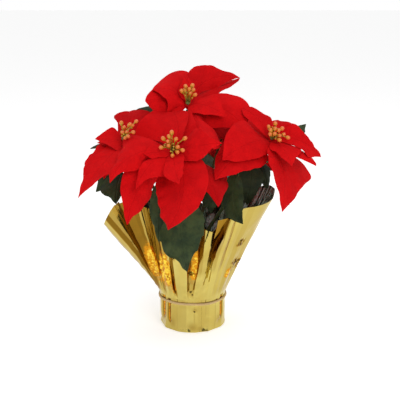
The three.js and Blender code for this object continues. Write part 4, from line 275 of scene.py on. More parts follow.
def crumple(x, y, size, seed):
    """Flat three-cornered facets with sharp creases between them."""
    x, y = np.broadcast_arrays(np.asarray(x, float) / size, np.asarray(y, float) / size)
    x, y = x + 0.38 * noise(x * 0.8 + 7, y * 0.8, seed + 1), y + 0.38 * noise(x * 0.8, y * 0.8 + 9, seed + 2)
    s = (x + y) * 0.3660254
    i, j = np.floor(x + s), np.floor(y + s)
    fx, fy = x + s - i, y + s - j
    h00, h11 = lattice(i, j, seed), lattice(i + 1, j + 1, seed)
    h10, h01 = lattice(i + 1, j, seed), lattice(i, j + 1, seed)
    return np.where(fx >= fy, h00 * (1 - fx) + h10 * (fx - fy) + h11 * fy, h00 * (1 - fy) + h01 * (fy - fx) + h11 * fx)


def station(v, s):
    v = np.asarray(v, float)
    s = np.asarray(s, float)
    i = np.clip(np.searchsorted(STATIONS, s, side="right") - 1, 0, len(STATIONS) - 2)
    m = np.empty(len(v))
    m[1:-1] = (v[2:] - v[:-2]) / (STATIONS[2:] - STATIONS[:-2])
    m[0] = (v[1] - v[0]) / (STATIONS[1] - STATIONS[0])
    m[-1] = (v[-1] - v[-2]) / (STATIONS[-1] - STATIONS[-2])
    h = STATIONS[i + 1] - STATIONS[i]
    t = (s - STATIONS[i]) / h
    r = (2 * t**3 - 3 * t**2 + 1) * v[i] + (t**3 - 2 * t**2 + t) * m[i] * h + (-2 * t**3 + 3 * t**2) * v[i + 1] + (t**3 - t**2) * m[i + 1] * h
    return np.maximum(r, 0)


def bezier(p0, p1, p2, p3, t):
    t = np.asarray(t, float)[..., None]
    return (1 - t) ** 3 * p0 + 3 * t * (1 - t) ** 2 * p1 + 3 * t**2 * (1 - t) * p2 + t**3 * p3


def bezier_slope(p0, p1, p2, p3, t):
    t = np.asarray(t, float)[..., None]
    return 3 * (1 - t) ** 2 * (p1 - p0) + 6 * t * (1 - t) * (p2 - p1) + 3 * t**2 * (p3 - p2)


def grid_normals(g):
    a = np.empty_like(g)
    a[1:-1] = g[2:] - g[:-2]
    a[0], a[-1] = g[1] - g[0], g[-1] - g[-2]
    b = np.empty_like(g)
    b[:, 1:-1] = g[:, 2:] - g[:, :-2]
    b[:, 0], b[:, -1] = g[:, 1] - g[:, 0], g[:, -1] - g[:, -2]
    return unit(np.cross(b, a))


# ------------------------------------------------------------------ mesh building
class Build:
    """Collects closed shells, in mm, into one mesh object."""

    def __init__(self):
        self.points, self.faces, self.slots, self.data, self.count = [], [], [], {}, 0

    def add(self, points, faces, slot=0, **data):
        points = np.asarray(points, float).reshape(-1, 3)
        n = len(points)
        self.points.append(points)
        for f in faces:
            self.faces.append(np.asarray(f, np.int64) + self.count)
        self.slots.append((slot, [len(f) for f in faces]) if not isinstance(slot, list) else (slot, [len(f) for f in faces]))
        for k, v in data.items():
            v = np.asarray(v, float)
            self.data.setdefault(k, []).append((self.count, v.reshape(n, -1) if v.size > 1 else np.full((n, 1), float(v))))
        self.count += n

    def object(self, name, materials, replaces, angle=40.0):
        points = np.concatenate(self.points)
        kinds = {3: [], 4: []}
        marks = {3: [], 4: []}
        at = 0
        for s, lengths in self.slots:
            for q, length in enumerate(lengths):
                f = self.faces[at]
                at += 1
                if not length:
                    continue
                kinds[f.shape[1]].append(f)
                marks[f.shape[1]].append(np.full(len(f), s[q] if isinstance(s, list) else s))
        loops, starts, ids, pos = [], [], [], 0
        for k in (4, 3):
            if kinds[k]:
                f = np.concatenate(kinds[k])
                loops.append(f.ravel())
                starts.append(pos + np.arange(len(f)) * k)
                ids.append(np.concatenate(marks[k]))
                pos += f.size
        loops, starts, ids = np.concatenate(loops), np.concatenate(starts), np.concatenate(ids)
        me = bpy.data.meshes.new(name)
        me.vertices.add(len(points))
        me.vertices.foreach_set("co", (points * 0.001).astype(np.float32).ravel())
        me.loops.add(len(loops))
        me.loops.foreach_set("vertex_index", loops.astype(np.int32))
        me.polygons.add(len(starts))
        me.polygons.foreach_set("loop_start", starts.astype(np.int32))
        me.update(calc_edges=True)
        for m in materials:
            me.materials.append(m)
        me.polygons.foreach_set("material_index", ids.astype(np.int32))
        me.polygons.foreach_set("use_smooth", np.ones(len(starts), bool))
        for k, parts in self.data.items():
            width = max(v.shape[1] for _, v in parts)
            whole = np.zeros((len(points), width))
            for start, v in parts:
                whole[start : start + len(v), : v.shape[1]] = v
            if width == 1:
                at = me.attributes.new(k, "FLOAT", "POINT")
                at.data.foreach_set("value", whole.astype(np.float32).ravel())
            else:
                at = me.attributes.new(k, "FLOAT_VECTOR", "POINT")
                at.data.foreach_set("vector", whole.astype(np.float32).ravel())
        me.set_sharp_from_angle(angle=math.radians(angle))
        me.validate()
        me.update()
        o = bpy.data.objects.new(name, me)
        bpy.context.scene.collection.objects.link(o)
        if replaces:
            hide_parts(*replaces)
        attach(o, "root")
        return o


def quads(a, b, c, d):
    return np.stack([x.ravel() for x in np.broadcast_arrays(a, b, c, d)], 1)


def shell_faces(R, C):
    """Faces of a closed shell round two R x C grids of points, the first on the side of the normals. Returns (front, back, rim)."""
    k = np.arange(R * C).reshape(R, C)
    f, b = k, k + R * C
    front = quads(f[:-1, :-1], f[:-1, 1:], f[1:, 1:], f[1:, :-1])
    back = quads(b[:-1, :-1], b[1:, :-1], b[1:, 1:], b[:-1, 1:])
    rim = [
        quads(f[:-1, 0], f[1:, 0], b[1:, 0], b[:-1, 0]),
        quads(f[:-1, -1], b[:-1, -1], b[1:, -1], f[1:, -1]),
        quads(f[0, :-1], b[0, :-1], b[0, 1:], f[0, 1:]),
        quads(f[-1, :-1], f[-1, 1:], b[-1, 1:], b[-1, :-1]),
    ]
    return front, back, np.concatenate(rim)


def tube(points, radii, sides=10, flat=None):
    """A round closed bar along points."""
    points = np.asarray(points, float)
    n = len(points)
    radii = np.broadcast_to(np.asarray(radii, float), (n,))
    T = np.empty_like(points)
    T[1:-1] = points[2:] - points[:-2]
    T[0], T[-1] = points[1] - points[0], points[-1] - points[-2]
    T = unit(T)
    u = UP if abs(T[0, 2]) < 0.9 else np.array([1.0, 0, 0])
    ang = 2 * np.pi * np.arange(sides) / sides
    out = []
    for i in range(n):
        u = unit(u - T[i] * (u @ T[i]))
        v = np.cross(T[i], u)
        out.append(points[i] + radii[i] * (np.cos(ang)[:, None] * u + np.sin(ang)[:, None] * v))
    pts = np.concatenate(out + [points[:1], points[-1:]])
    k = np.arange(n * sides).reshape(n, sides)
    nx = np.roll(k, -1, axis=1)
    side = quads(k[:-1], nx[:-1], nx[1:], k[1:])
    a, b = n * sides, n * sides + 1
    caps = np.concatenate([
        np.stack([np.full(sides, a), nx[0], k[0]], 1),
        np.stack([np.full(sides, b), k[-1], nx[-1]], 1),
    ])
    run = np.concatenate([[0], np.cumsum(np.linalg.norm(np.diff(points, axis=0), axis=1))])
    along = np.concatenate([np.repeat(run, sides), [run[0], run[-1]]])
    return pts, [side, caps], along


def lathe(profile, sides, centre=(0, 0, 0), axis=(0, 0, 1), wobble=None):
    """A closed turned piece from [radius, height] points that start and end on the axis."""
    prof = np.asarray(profile, float)
    axis = unit(axis)
    x = unit(np.cross(axis, [0.0, 1.0, 0.0]) if abs(axis[1]) < 0.9 else np.cross(axis, [1.0, 0, 0]))
    y = np.cross(axis, x)
    ang = 2 * np.pi * np.arange(sides) / sides
    mid = prof[1:-1]
    ring = mid[:, 0, None, None] * (np.cos(ang)[None, :, None] * x + np.sin(ang)[None, :, None] * y) + mid[:, 1, None, None] * axis
    if wobble is not None:
        ring = wobble(ring, mid, ang)
    pts = np.concatenate([ring.reshape(-1, 3), [prof[0, 1] * axis], [prof[-1, 1] * axis]]) + np.asarray(centre, float)
    R = len(mid)
    k = np.arange(R * sides).reshape(R, sides)
    nx = np.roll(k, -1, axis=1)
    side = quads(k[:-1], nx[:-1], nx[1:], k[1:])
    a, b = R * sides, R * sides + 1
    caps = np.concatenate([
        np.stack([np.full(sides, a), nx[0], k[0]], 1),
        np.stack([np.full(sides, b), k[-1], nx[-1]], 1),
    ])
    return pts, [side, caps]


# ------------------------------------------------------------------ materials
def new_material(name):
    m = bpy.data.materials.new(name)
    m.use_nodes = True
    t = m.node_tree
    t.nodes.clear()
    out = t.nodes.new("ShaderNodeOutputMaterial")
    b = t.nodes.new("ShaderNodeBsdfPrincipled")
    t.links.new(b.outputs[0], out.inputs[0])
    return m, t, b


class Nodes:
    def __init__(self, tree):
        self.t = tree

    def link(self, a, b):
        self.t.links.new(a, b)

    def put(self, socket, value):
        if isinstance(value, bpy.types.NodeSocket):
            self.t.links.new(value, socket)
        else:
            socket.default_value = value

    def attribute(self, name, kind="Vector"):
        n = self.t.nodes.new("ShaderNodeAttribute")
        n.attribute_name = name
        return n.outputs[{"Vector": "Vector", "Fac": "Fac"}[kind]]

    def split(self, v):
        n = self.t.nodes.new("ShaderNodeSeparateXYZ")
        self.link(v, n.inputs[0])
        return n.outputs[0], n.outputs[1], n.outputs[2]

    def join(self, x, y, z):
        n = self.t.nodes.new("ShaderNodeCombineXYZ")
        for s, v in zip(n.inputs, (x, y, z)):
            self.put(s, v)
        return n.outputs[0]

    def math(self, op, a, b=0.0, c=0.0, clamp=False):
        n = self.t.nodes.new("ShaderNodeMath")
        n.operation = op
        n.use_clamp = clamp
        self.put(n.inputs[0], a)
        self.put(n.inputs[1], b)
        self.put(n.inputs[2], c)
        return n.outputs[0]

    def ramp(self, v, a, b, to0=0.0, to1=1.0, kind="SMOOTHSTEP"):
        n = self.t.nodes.new("ShaderNodeMapRange")
        n.interpolation_type = kind
        self.put(n.inputs["Value"], v)
        self.put(n.inputs["From Min"], a)
        self.put(n.inputs["From Max"], b)
        self.put(n.inputs["To Min"], to0)
        self.put(n.inputs["To Max"], to1)
        return n.outputs["Result"]

    def coords(self, scale):
        """Object coordinates in mm, scaled."""
        n = self.t.nodes.new("ShaderNodeTexCoord")
        m = self.t.nodes.new("ShaderNodeVectorMath")
        m.operation = "SCALE"
        self.link(n.outputs["Object"], m.inputs[0])
        m.inputs["Scale"].default_value = 1000.0 * scale
        return m.outputs[0]

    def noise(self, vector, scale=1.0, detail=2.0, rough=0.5, lac=2.0):
        n = self.t.nodes.new("ShaderNodeTexNoise")
        self.link(vector, n.inputs["Vector"])
        n.inputs["Scale"].default_value = scale
        n.inputs["Detail"].default_value = detail
        n.inputs["Roughness"].default_value = rough
        n.inputs["Lacunarity"].default_value = lac
        return n.outputs["Fac"]

    def voronoi(self, vector, scale=1.0, feature="DISTANCE_TO_EDGE"):
        n = self.t.nodes.new("ShaderNodeTexVoronoi")
        n.feature = feature
        self.link(vector, n.inputs["Vector"])
        n.inputs["Scale"].default_value = scale
        return n.outputs["Distance"]

    def shard(self, vector):
        """A number from 0 to 1, one for each cell of a random pattern."""
        n = self.t.nodes.new("ShaderNodeTexVoronoi")
        n.feature = "F1"
        self.link(vector, n.inputs["Vector"])
        n.inputs["Scale"].default_value = 1.0
        return self.split(n.outputs["Color"])[0]

    def mix(self, fac, a, b):
        n = self.t.nodes.new("ShaderNodeMix")
        n.data_type = "RGBA"
        self.put(n.inputs[0], fac)
        self.put(n.inputs[6], a if isinstance(a, bpy.types.NodeSocket) else (*a, 1.0))
        self.put(n.inputs[7], b if isinstance(b, bpy.types.NodeSocket) else (*b, 1.0))
        return n.outputs[2]

    def shade(self, colour, factor):
        """colour times a number."""
        n = self.t.nodes.new("ShaderNodeVectorMath")
        n.operation = "SCALE"
        self.link(colour, n.inputs[0])
        self.put(n.inputs["Scale"], factor)
        return n.outputs[0]

    def bump(self, height, distance, strength=1.0, normal=None):
        n = self.t.nodes.new("ShaderNodeBump")
        n.inputs["Strength"].default_value = strength
        n.inputs["Distance"].default_value = distance
        self.link(height, n.inputs["Height"])
        if normal is not None:
            self.link(normal, n.inputs["Normal"])
        return n.outputs[0]


def cloth_material(name, face, back, deep, edge, rough, sheen, specular, vein_gap, vein_depth, slant):
    m, t, b = new_material(name)
    n = Nodes(t)
    x, y, rim = n.split(n.attribute("lay"))
    side = n.attribute("side", "Fac")
    tone = n.attribute("tone", "Fac")
    ax = n.math("ABSOLUTE", x)
    # fine fibres and the weave of the ground cloth
    fibres = n.noise(n.coords(2.6), 1.0, 3.0, 0.65)
    patch = n.noise(n.coords(0.055), 1.0, 3.0, 0.55)
    dapple = n.noise(n.coords(0.34), 1.0, 2.0, 0.6)
    wx = n.math("SINE", n.math("MULTIPLY", x, 11.0))
    wy = n.math("SINE", n.math("MULTIPLY", y, 11.0))
    weave = n.math("MULTIPLY", wx, wy)
    # pressed veins: one down the middle, others leaving it forwards
    wander = n.math("MULTIPLY", n.math("SUBTRACT", n.noise(n.join(n.math("MULTIPLY", x, 0.09), n.math("MULTIPLY", y, 0.09), tone), 1.0, 2.0), 0.5), 7.0)
    run = n.math("ADD", n.math("SUBTRACT", y, n.math("MULTIPLY", ax, slant)), wander)
    wave = n.math("PINGPONG", n.math("ADD", run, 200.0), vein_gap)
    vein = n.ramp(wave, 0.15, 0.95, 1.0, 0.0)
    vein = n.math("MULTIPLY", vein, n.ramp(rim, 1.0, 9.0))
    vein = n.math("MULTIPLY", vein, n.ramp(ax, 30.0, 12.0, 0.35, 1.0))
    mid = n.ramp(ax, 0.2, 1.15, 1.0, 0.0)
    mid = n.math("MULTIPLY", mid, n.ramp(rim, 0.3, 2.0))
    press_and_shade = n.math("MAXIMUM", mid, n.math("MULTIPLY", vein, 0.6))
    # colour
    c = n.mix(n.ramp(patch, 0.36, 0.66), face, deep)
    c = n.mix(n.math("MULTIPLY", n.ramp(dapple, 0.45, 0.75), 0.22), c, edge)
    c = n.mix(n.ramp(side, 0.35, 0.65, 0.85, 0.0), c, back)
    c = n.mix(n.ramp(rim, 0.0, 0.8, 0.5, 0.0), c, edge)
    # painted shade: the colour is up to 8 % darker along the pressed veins and the middle vein
    level = n.math("MULTIPLY", n.math("ADD", n.math("MULTIPLY", fibres, 0.16), 0.92), n.math("SUBTRACT", 1.0, n.math("MULTIPLY", press_and_shade, 0.08)))
    # tone darkens pieces that lie in shade (painted shade) and varies the cloth a little at random
    level = n.math("MULTIPLY", level, tone)
    n.link(n.shade(c, level), b.inputs["Base Color"])
    n.link(n.ramp(fibres, 0.2, 0.8, rough - 0.06, min(rough + 0.06, 1.0), "LINEAR"), b.inputs["Roughness"])
    b.inputs["Specular IOR Level"].default_value = specular
    b.inputs["Sheen Weight"].default_value = sheen
    b.inputs["Sheen Roughness"].default_value = 0.45
    b.inputs["Sheen Tint"].default_value = (*[min(1.0, v * 1.6 + 0.02) for v in face], 1.0)
    height = n.math("ADD", n.math("MULTIPLY", press_and_shade, -vein_depth), n.math("MULTIPLY", fibres, 0.16))
    height = n.math("ADD", height, n.math("MULTIPLY", weave, 0.03))
    n.link(n.bump(height, 0.001, 0.7), b.inputs["Normal"])
    return m


RED = cloth_material("bract_cloth", (0.66, 0.0042, 0.0060), (0.56, 0.0060, 0.0085), (0.585, 0.0034, 0.0055), (0.70, 0.0075, 0.0095), 0.88, 0.06, 0.06, 6.5, 0.32, 0.95)
LEAF = cloth_material("leaf_cloth", (0.042, 0.062, 0.017), (0.056, 0.076, 0.028), (0.017, 0.033, 0.010), (0.060, 0.086, 0.024), 0.58, 0.04, 0.18, 5.0, 0.60, 0.85)


def foil_material(name, colour, deep, rough, painted_valley_shade, painted_glint, painted_highlight, bare=1.0, metal=1.0):
    m, t, b = new_material(name)
    n = Nodes(t)
    dark, wrinkles_and_glints, panel = n.split(n.attribute("lay"))
    wide = n.noise(n.coords(0.03), 1.0, 2.0, 0.5)
    fine = n.noise(n.coords(0.55), 1.0, 3.0, 0.6)
    cells = n.voronoi(n.coords(0.16), 1.0)
    c = n.mix(n.math("MULTIPLY", n.math("ADD", n.ramp(wide, 0.35, 0.65), panel), 0.5), colour, deep)
    # painted shade: where the dark channel rises the colour goes to the valley colour, then darker, and near black past
    # 1
    c = n.mix(n.ramp(dark, 0.0, 0.66, 0.0, 1.0, "LINEAR"), c, painted_valley_shade)
    c = n.mix(n.ramp(dark, 0.66, 1.0, 0.0, 0.5, "LINEAR"), c, tuple(0.28 * v for v in painted_valley_shade))
    c = n.mix(n.ramp(dark, 1.02, 1.25, 0.0, 0.9, "LINEAR"), c, tuple(0.12 * v for v in painted_valley_shade))
    facet = n.shard(n.coords(0.30))
    # painted highlights: where the wrinkle channel is high, facets are coloured towards a glint colour and a brighter
    # highlight colour
    lit = n.math("MULTIPLY", wrinkles_and_glints, n.ramp(facet, 0.05, 0.95, 0.42, 1.15, "LINEAR"))
    c = n.mix(n.ramp(lit, 0.10, 0.34), c, painted_glint)
    c = n.mix(n.ramp(lit, 0.44, 0.74), c, painted_highlight)
    n.link(c, b.inputs["Base Color"])
    if bare < 1:
        # the taut places are clouded, so they shine evenly
        n.link(n.ramp(wrinkles_and_glints, 0.1, 0.9, metal, bare, "LINEAR"), b.inputs["Metallic"])
        n.link(n.ramp(wrinkles_and_glints, 0.1, 0.9, rough, rough + 0.22, "LINEAR"), b.inputs["Roughness"])
    else:
        b.inputs["Metallic"].default_value = 1.0
        sheen = n.ramp(fine, 0.3, 0.7, rough - 0.03, rough + 0.05, "LINEAR")
        n.link(n.math("ADD", sheen, n.math("MULTIPLY", wrinkles_and_glints, 0.24)), b.inputs["Roughness"])
    height = n.math("ADD", n.math("MULTIPLY", fine, 0.05), n.math("MULTIPLY", n.ramp(cells, 0.0, 0.12), 0.035))
    height = n.math("ADD", height, n.math("MULTIPLY", n.math("MULTIPLY", wrinkles_and_glints, facet), 0.30))
    n.link(n.bump(height, 0.001, 0.5), b.inputs["Normal"])
    return m


GOLD = foil_material("gold_foil", (0.60, 0.50, 0.135), (0.55, 0.425, 0.095), 0.12, (0.30, 0.160, 0.016), (0.60, 0.245, 0.012), (0.90, 0.62, 0.060))
SILVER = foil_material("foil_inside", (0.26, 0.315, 0.235), (0.09, 0.115, 0.080), 0.24, (0.055, 0.070, 0.045), (0.46, 0.57, 0.52), (0.84, 1.0, 0.96), 0.10, 0.7)


def twine_material():
    m, t, b = new_material("twine")
    n = Nodes(t)
    x, y, _ = n.split(n.attribute("lay"))
    hair = n.noise(n.join(n.math("MULTIPLY", x, 3.2), n.math("MULTIPLY", y, 0.55), 0.0), 1.0, 3.0, 0.7)
    stray = n.noise(n.coords(1.7), 1.0, 3.0, 0.7)
    c = n.mix(n.ramp(hair, 0.3, 0.7), (0.56, 0.39, 0.175), (0.74, 0.545, 0.27))
    c = n.mix(n.ramp(stray, 0.52, 0.8, 0.0, 0.5), c, (0.80, 0.62, 0.34))
    n.link(c, b.inputs["Base Color"])
    b.inputs["Specular IOR Level"].default_value = 0.15
    n.link(n.ramp(hair, 0.2, 0.8, 0.82, 0.95, "LINEAR"), b.inputs["Roughness"])
    n.link(n.bump(n.math("ADD", n.math("MULTIPLY", hair, 0.28), n.math("MULTIPLY", stray, 0.12)), 0.001, 0.9), b.inputs["Normal"])
    return m


TWINE = twine_material()


def plastic_material(name, colour, dark, rough, grain, depth):
    m, t, b = new_material(name)
    n = Nodes(t)
    wide = n.noise(n.coords(0.05), 1.0, 3.0, 0.5)
    fine = n.noise(n.coords(grain), 1.0, 3.0, 0.6)
    c = n.mix(n.ramp(wide, 0.3, 0.7), colour, dark)
    n.link(n.shade(c, n.ramp(fine, 0.3, 0.7, 0.88, 1.08)), b.inputs["Base Color"])
    n.link(n.ramp(fine, 0.3, 0.7, rough - 0.07, rough + 0.08, "LINEAR"), b.inputs["Roughness"])
    b.inputs["Specular IOR Level"].default_value = 0.4
    n.link(n.bump(fine, 0.001, depth), b.inputs["Normal"])
    return m


STEM = plastic_material("stem_plastic", (0.095, 0.150, 0.045), (0.060, 0.100, 0.030), 0.5, 0.9, 0.12)
POT = plastic_material("pot_plastic", (0.16, 0.075, 0.042), (0.12, 0.055, 0.032), 0.48, 0.7, 0.06)
PLASTER = plastic_material("plaster", (0.55, 0.50, 0.42), (0.42, 0.37, 0.30), 0.9, 0.8, 0.6)


def berry_material():
    m, t, b = new_material("berry_plastic")
    n = Nodes(t)
    grade = n.attribute("grade", "Fac")
    tone = n.attribute("tone", "Fac")
    spots = n.noise(n.coords(0.9), 1.0, 3.0, 0.6)
    green, yellow, orange, coral = (0.080, 0.115, 0.020), (0.48, 0.33, 0.028), (0.72, 0.235, 0.024), (0.80, 0.185, 0.050)
    g = n.math("ADD", grade, n.math("MULTIPLY", n.math("SUBTRACT", spots, 0.5), 0.35))
    g = n.math("ADD", g, n.math("SUBTRACT", tone, 1.0))
    c = n.mix(n.ramp(g, 0.05, 0.35), green, yellow)
    c = n.mix(n.ramp(g, 0.50, 0.78), c, orange)
    c = n.mix(n.ramp(g, 0.82, 1.06), c, coral)
    n.link(n.shade(c, n.ramp(spots, 0.3, 0.7, 0.88, 1.1)), b.inputs["Base Color"])
    n.link(n.ramp(spots, 0.3, 0.7, 0.32, 0.46, "LINEAR"), b.inputs["Roughness"])
    b.inputs["Specular IOR Level"].default_value = 0.45
    n.link(n.bump(spots, 0.001, 0.22), b.inputs["Normal"])
    return m


BERRY = berry_material()


# ------------------------------------------------------------------ bracts and leaves
def sheet_shape(p, rows, cols, ease, seed, leaf):
    """Middle surface of one bract or leaf: (grid of points, across in mm, along in mm, distance from the cut edge in mm)."""
    _, _, base, tip, axis, arch, bend, roll, twist, curl, wl, wr, pl, pr = p
    P0, P1 = np.array(base, float), np.array(tip, float)
    L = np.linalg.norm(P1 - P0)
    c = (P1 - P0) / L
    S0 = unit(np.cross(c, unit(axis)))
    U0 = np.cross(S0, c)
    a, b = math.radians(arch), math.radians(bend)
    t0 = unit((c * math.cos(a) + U0 * math.sin(a)) * math.cos(b) + S0 * math.sin(b))
    t1 = 2 * (c @ t0) * c - t0
    h = 0.36 * L
    ctrl = (P0, P0 + t0 * h, P1 - t1 * h, P1)
    s = np.linspace(0, 1, rows + 1)
    s = s + 0.10 * s * (1 - s)
    M = bezier(*ctrl, s)
    T = unit(bezier_slope(*ctrl, s))
    S = unit(S0 - T * (T @ S0)[:, None])
    U = np.cross(S, T)
    r = np.radians(roll + twist * (s - 0.3))[:, None]
    S, U = S * np.cos(r) + U * np.sin(r), U * np.cos(r) - S * np.sin(r)
    k = curl if abs(curl) > 1e-3 else 1e-3
    q = np.linspace(-1, 1, 2 * cols + 1)
    u = np.sign(q) * np.abs(q) ** ease
    wide = np.stack([wl * station(pl, s), wr * station(pr, s)])
    y = s * L
    for i, side in enumerate(wide):
        rough = 0.45 * noise(y / 6.5 + 11 * i, seed * 0.7, seed + 31 + i) + 0.22 * noise(y / 2.3 + 5 * i, 3.3, seed + 37 + i)
        if not leaf:
            # small nicks and points of the cut edge
            rough = rough + 0.75 * noise(y / 3.4 + 17 * i, seed * 1.3, seed + 43 + i) ** 3 - 0.5 * smooth(0.5, 0.8, noise(y / 5.0 + 23 * i, seed * 1.9, seed + 47 + i))
        if leaf:
            teeth = np.clip((s - 0.22) / 0.56, 0, 1) * 3.0 + 0.15 * i
            saw = (teeth % 1.0) * smooth(0.0, 0.12, teeth % 1.0) * (teeth > 0.15) * (teeth < 2.98)
            rough = rough * 0.8 + (saw - 0.35) * 0.085 * side.max() * smooth(0.1, 0.3, s) * smooth(0.95, 0.75, s)
        wide[i] = np.maximum(side + rough * smooth(0.1, 0.25, s) * smooth(0.0, 4.0, side), 0.22)
    w = np.where(u[None, :] > 0, wide[1][:, None], wide[0][:, None])
    ku = k * u[None, :]
    g = M[:, None] + S[:, None] * (w * np.sin(ku) / k)[..., None] - U[:, None] * (w * (1 - np.cos(ku)) / k)[..., None]
    x = u[None, :] * w
    yy = np.broadcast_to(y[:, None], x.shape)
    rim = np.minimum(w - np.abs(x), (L - yy) * 0.6)
    # relief
    away = smooth(0.05, 0.26, s)[:, None] * smooth(1.0, 0.9, s)[:, None]
    au = np.abs(u)[None, :]
    rng = [0.5 + 0.5 * float(lattice(np.array([seed]), np.array([i]), 91)[0]) for i in range(12)]
    big = min(1.0, max(wl, wr) / 30.0)
    lam = np.where(u[None, :] > 0, 27 + 16 * rng[0], 25 + 18 * rng[1]) * (0.55 + 0.45 * big)
    ph = np.where(u[None, :] > 0, rng[2], rng[3]) * 6.283
    wave = np.sin(yy / lam * 6.283 + ph + 1.2 * noise(yy / 30, u[None, :] * 1.5, seed + 5))
    d = away * au**2 * (1.25 if not leaf else 1.5) * big * wave
    d += away * big * 0.9 * noise(x / 17 + rng[4] * 9, yy / 23 + rng[5] * 9, seed + 7) * smooth(0.0, 8.0, np.abs(x))
    d += away * 0.28 * noise(x / 5.5, yy / 7.5, seed + 9)
    # creases that run out from the middle, as cloth folds when it is pressed
    slope = (yy - np.abs(x) * (0.9 + 0.3 * rng[6])) / (11.5 + 3 * rng[7]) + 0.35 * noise(x / 14, yy / 14, seed + 13)
    fold = np.abs((slope % 1.0) - 0.5) * 2
    d += away * 0.34 * big * (fold - 0.5) * smooth(1.5, 8.0, np.abs(x)) * smooth(0.0, 6.0, rim)
    # the pressed middle vein
    d += smooth(0.0, 0.1, s)[:, None] * (-0.42 * np.exp(-((x / 1.0) ** 2)) + 0.34 * np.exp(-((x / 2.8) ** 2)))
    g = g + grid_normals(g) * d[..., None]
    return g, x, yy, np.maximum(rim, 0)


# painted shade: pieces that lie in shade get a darker colour, a factor on the cloth colour
PAINTED_SHADE = {"A10": 0.74, "D1": 0.82, "A4": 0.92, "B1a": 0.92, "B1b": 0.92, "G5": 0.5, "G5b": 0.5, "G3": 0.72, "G10": 0.75, "G4": 0.85, "G4b": 0.85}


def add_sheet(build, p, seed, leaf=False, step=2.3):
    L = math.dist(p[2], p[3])
    W = max(p[10], p[11])
    rows = max(16, int(round(L / step)))
    cols = max(6, int(round(W / (step * 1.12))))
    g, x, y, rim = sheet_shape(p, rows, cols, 1.3, seed, leaf)
    n = grid_normals(g)
    R, C = g.shape[:2]
    pts = np.concatenate([(g + n * CLOTH / 2).reshape(-1, 3), (g - n * CLOTH / 2).reshape(-1, 3)])
    front, back, edge = shell_faces(R, C)
    lay = np.stack([x, y, rim], -1).reshape(-1, 3)
    lay = np.concatenate([lay, lay])
    side = np.concatenate([np.ones(R * C), np.zeros(R * C)])
    # the tone is the painted shade factor of the piece plus a small random tone of the cloth
    tone = PAINTED_SHADE.get(p[0], 1.0) + 0.045 * float(lattice(np.array([seed]), np.array([3]), 17)[0])
    build.add(pts, [front, back, edge], 0, lay=lay, side=side, tone=np.full(len(pts), tone))


LAYER = {"L2": "lower_bracts", "L": "large_bracts", "M": "upper_bracts", "S": "inner_bracts"}
HEAD = {"A": "front", "B": "top", "C": "right", "D": "left", "E": "back_right", "F": "back_left"}
seed = 0
for k, (seat, axis) in HEADS.items():
    P, N = np.array(seat, float), unit(axis)
    for layer in ("L2", "L", "M", "S"):
        mine = [s for s in SHEETS if s[0][0] == k and s[1] == layer]
        if not mine:
            continue
        build = Build()
        C = P + N * SEAT[layer]
        # hub disc, pierced for the stem tip
        prof = [[1.62, -0.35], [HUB_R - 0.5, -0.4], [HUB_R, 0.0], [HUB_R - 0.5, 0.4], [1.62, 0.35]]
        x = unit(np.cross(N, [0.0, 1.0, 0.0]))
        yv = np.cross(N, x)
        ang = 2 * np.pi * np.arange(28) / 28
        ring = np.array([[C + r * (math.cos(q) * x + math.sin(q) * yv) + z * N for q in ang] for r, z in prof])
        idx = np.arange(ring.shape[0] * 28).reshape(-1, 28)
        nxt = np.roll(idx, -1, axis=1)
        dn, dnn = np.roll(idx, -1, axis=0), np.roll(nxt, -1, axis=0)
        build.add(ring, [quads(idx, nxt, dnn, dn)], 0, lay=np.tile([9.0, 4.0, 5.0], (ring.shape[0] * 28, 1)), side=np.ones(ring.shape[0] * 28), tone=np.full(ring.shape[0] * 28, 0.93))
        for s in mine:
            seed += 1
            add_sheet(build, s, seed, step=2.3 if k in "ABCD" else 2.9)
        build.object(f"{HEAD[k]}_{LAYER[layer].split('_')[0]}_cloth", [RED], [f"{HEAD[k]}_{LAYER[layer]}"], angle=55)

# branches
curves = {}
for k, z0, lean, droop in BRANCHES:
    P, N = np.array(HEADS[k][0], float), unit(HEADS[k][1])
    curves[k] = (np.array([0, 0, float(z0)]), np.array(lean, float), P + N * (SHOULDER - droop), P + N * (SHOULDER - 1))

# leaves on their stalks
for s in [q for q in SHEETS if q[1] == "G"]:
    seed += 1
    build = Build()
    add_sheet(build, s, seed, leaf=True, step=2.0)
    k, at = STALKS[s[0]]
    b = np.array(s[2], float)
    t = unit(np.array(s[3], float) - b)
    Q = bezier(*curves[k], at)
    along = unit(bezier_slope(*curves[k], at))
    d = Q - b
    dist = np.linalg.norm(d)
    d = d / dist
    sin = max(0.45, np.linalg.norm(np.cross(along, d)))
    stop = Q - d * ((BRANCH_R * 0.6) / sin)
    p1 = stop + (b - stop) * 0.6 - t * min(6.0, dist * 0.2)
    q = np.linspace(0, 1, 15)[:, None]
    pts = (1 - q) ** 3 * stop + 3 * q * (1 - q) ** 2 * (stop + (p1 - stop) * 0.6) + 3 * q**2 * (1 - q) * p1 + q**3 * (b + t * 0.5)
    pts = np.concatenate([pts, b + t * np.array([2.0, 5.0, 9.0, 14.0])[:, None]])
    radii = np.concatenate([np.linspace(1.5, PETIOLE_R, 4), np.full(11, PETIOLE_R), [0.95, 0.8, 0.6, 0.35]])
    v, f, run = tube(pts, radii, 8)
    build.add(v, f, 1, lay=np.stack([np.zeros(len(v)), run, np.full(len(v), 5.0)], 1), side=np.ones(len(v)), tone=np.ones(len(v)))
    build.object(f"leaf_{s[0][1:]}_cloth", [LEAF, STEM], [f"leaf_{s[0][1:]}"], angle=55)

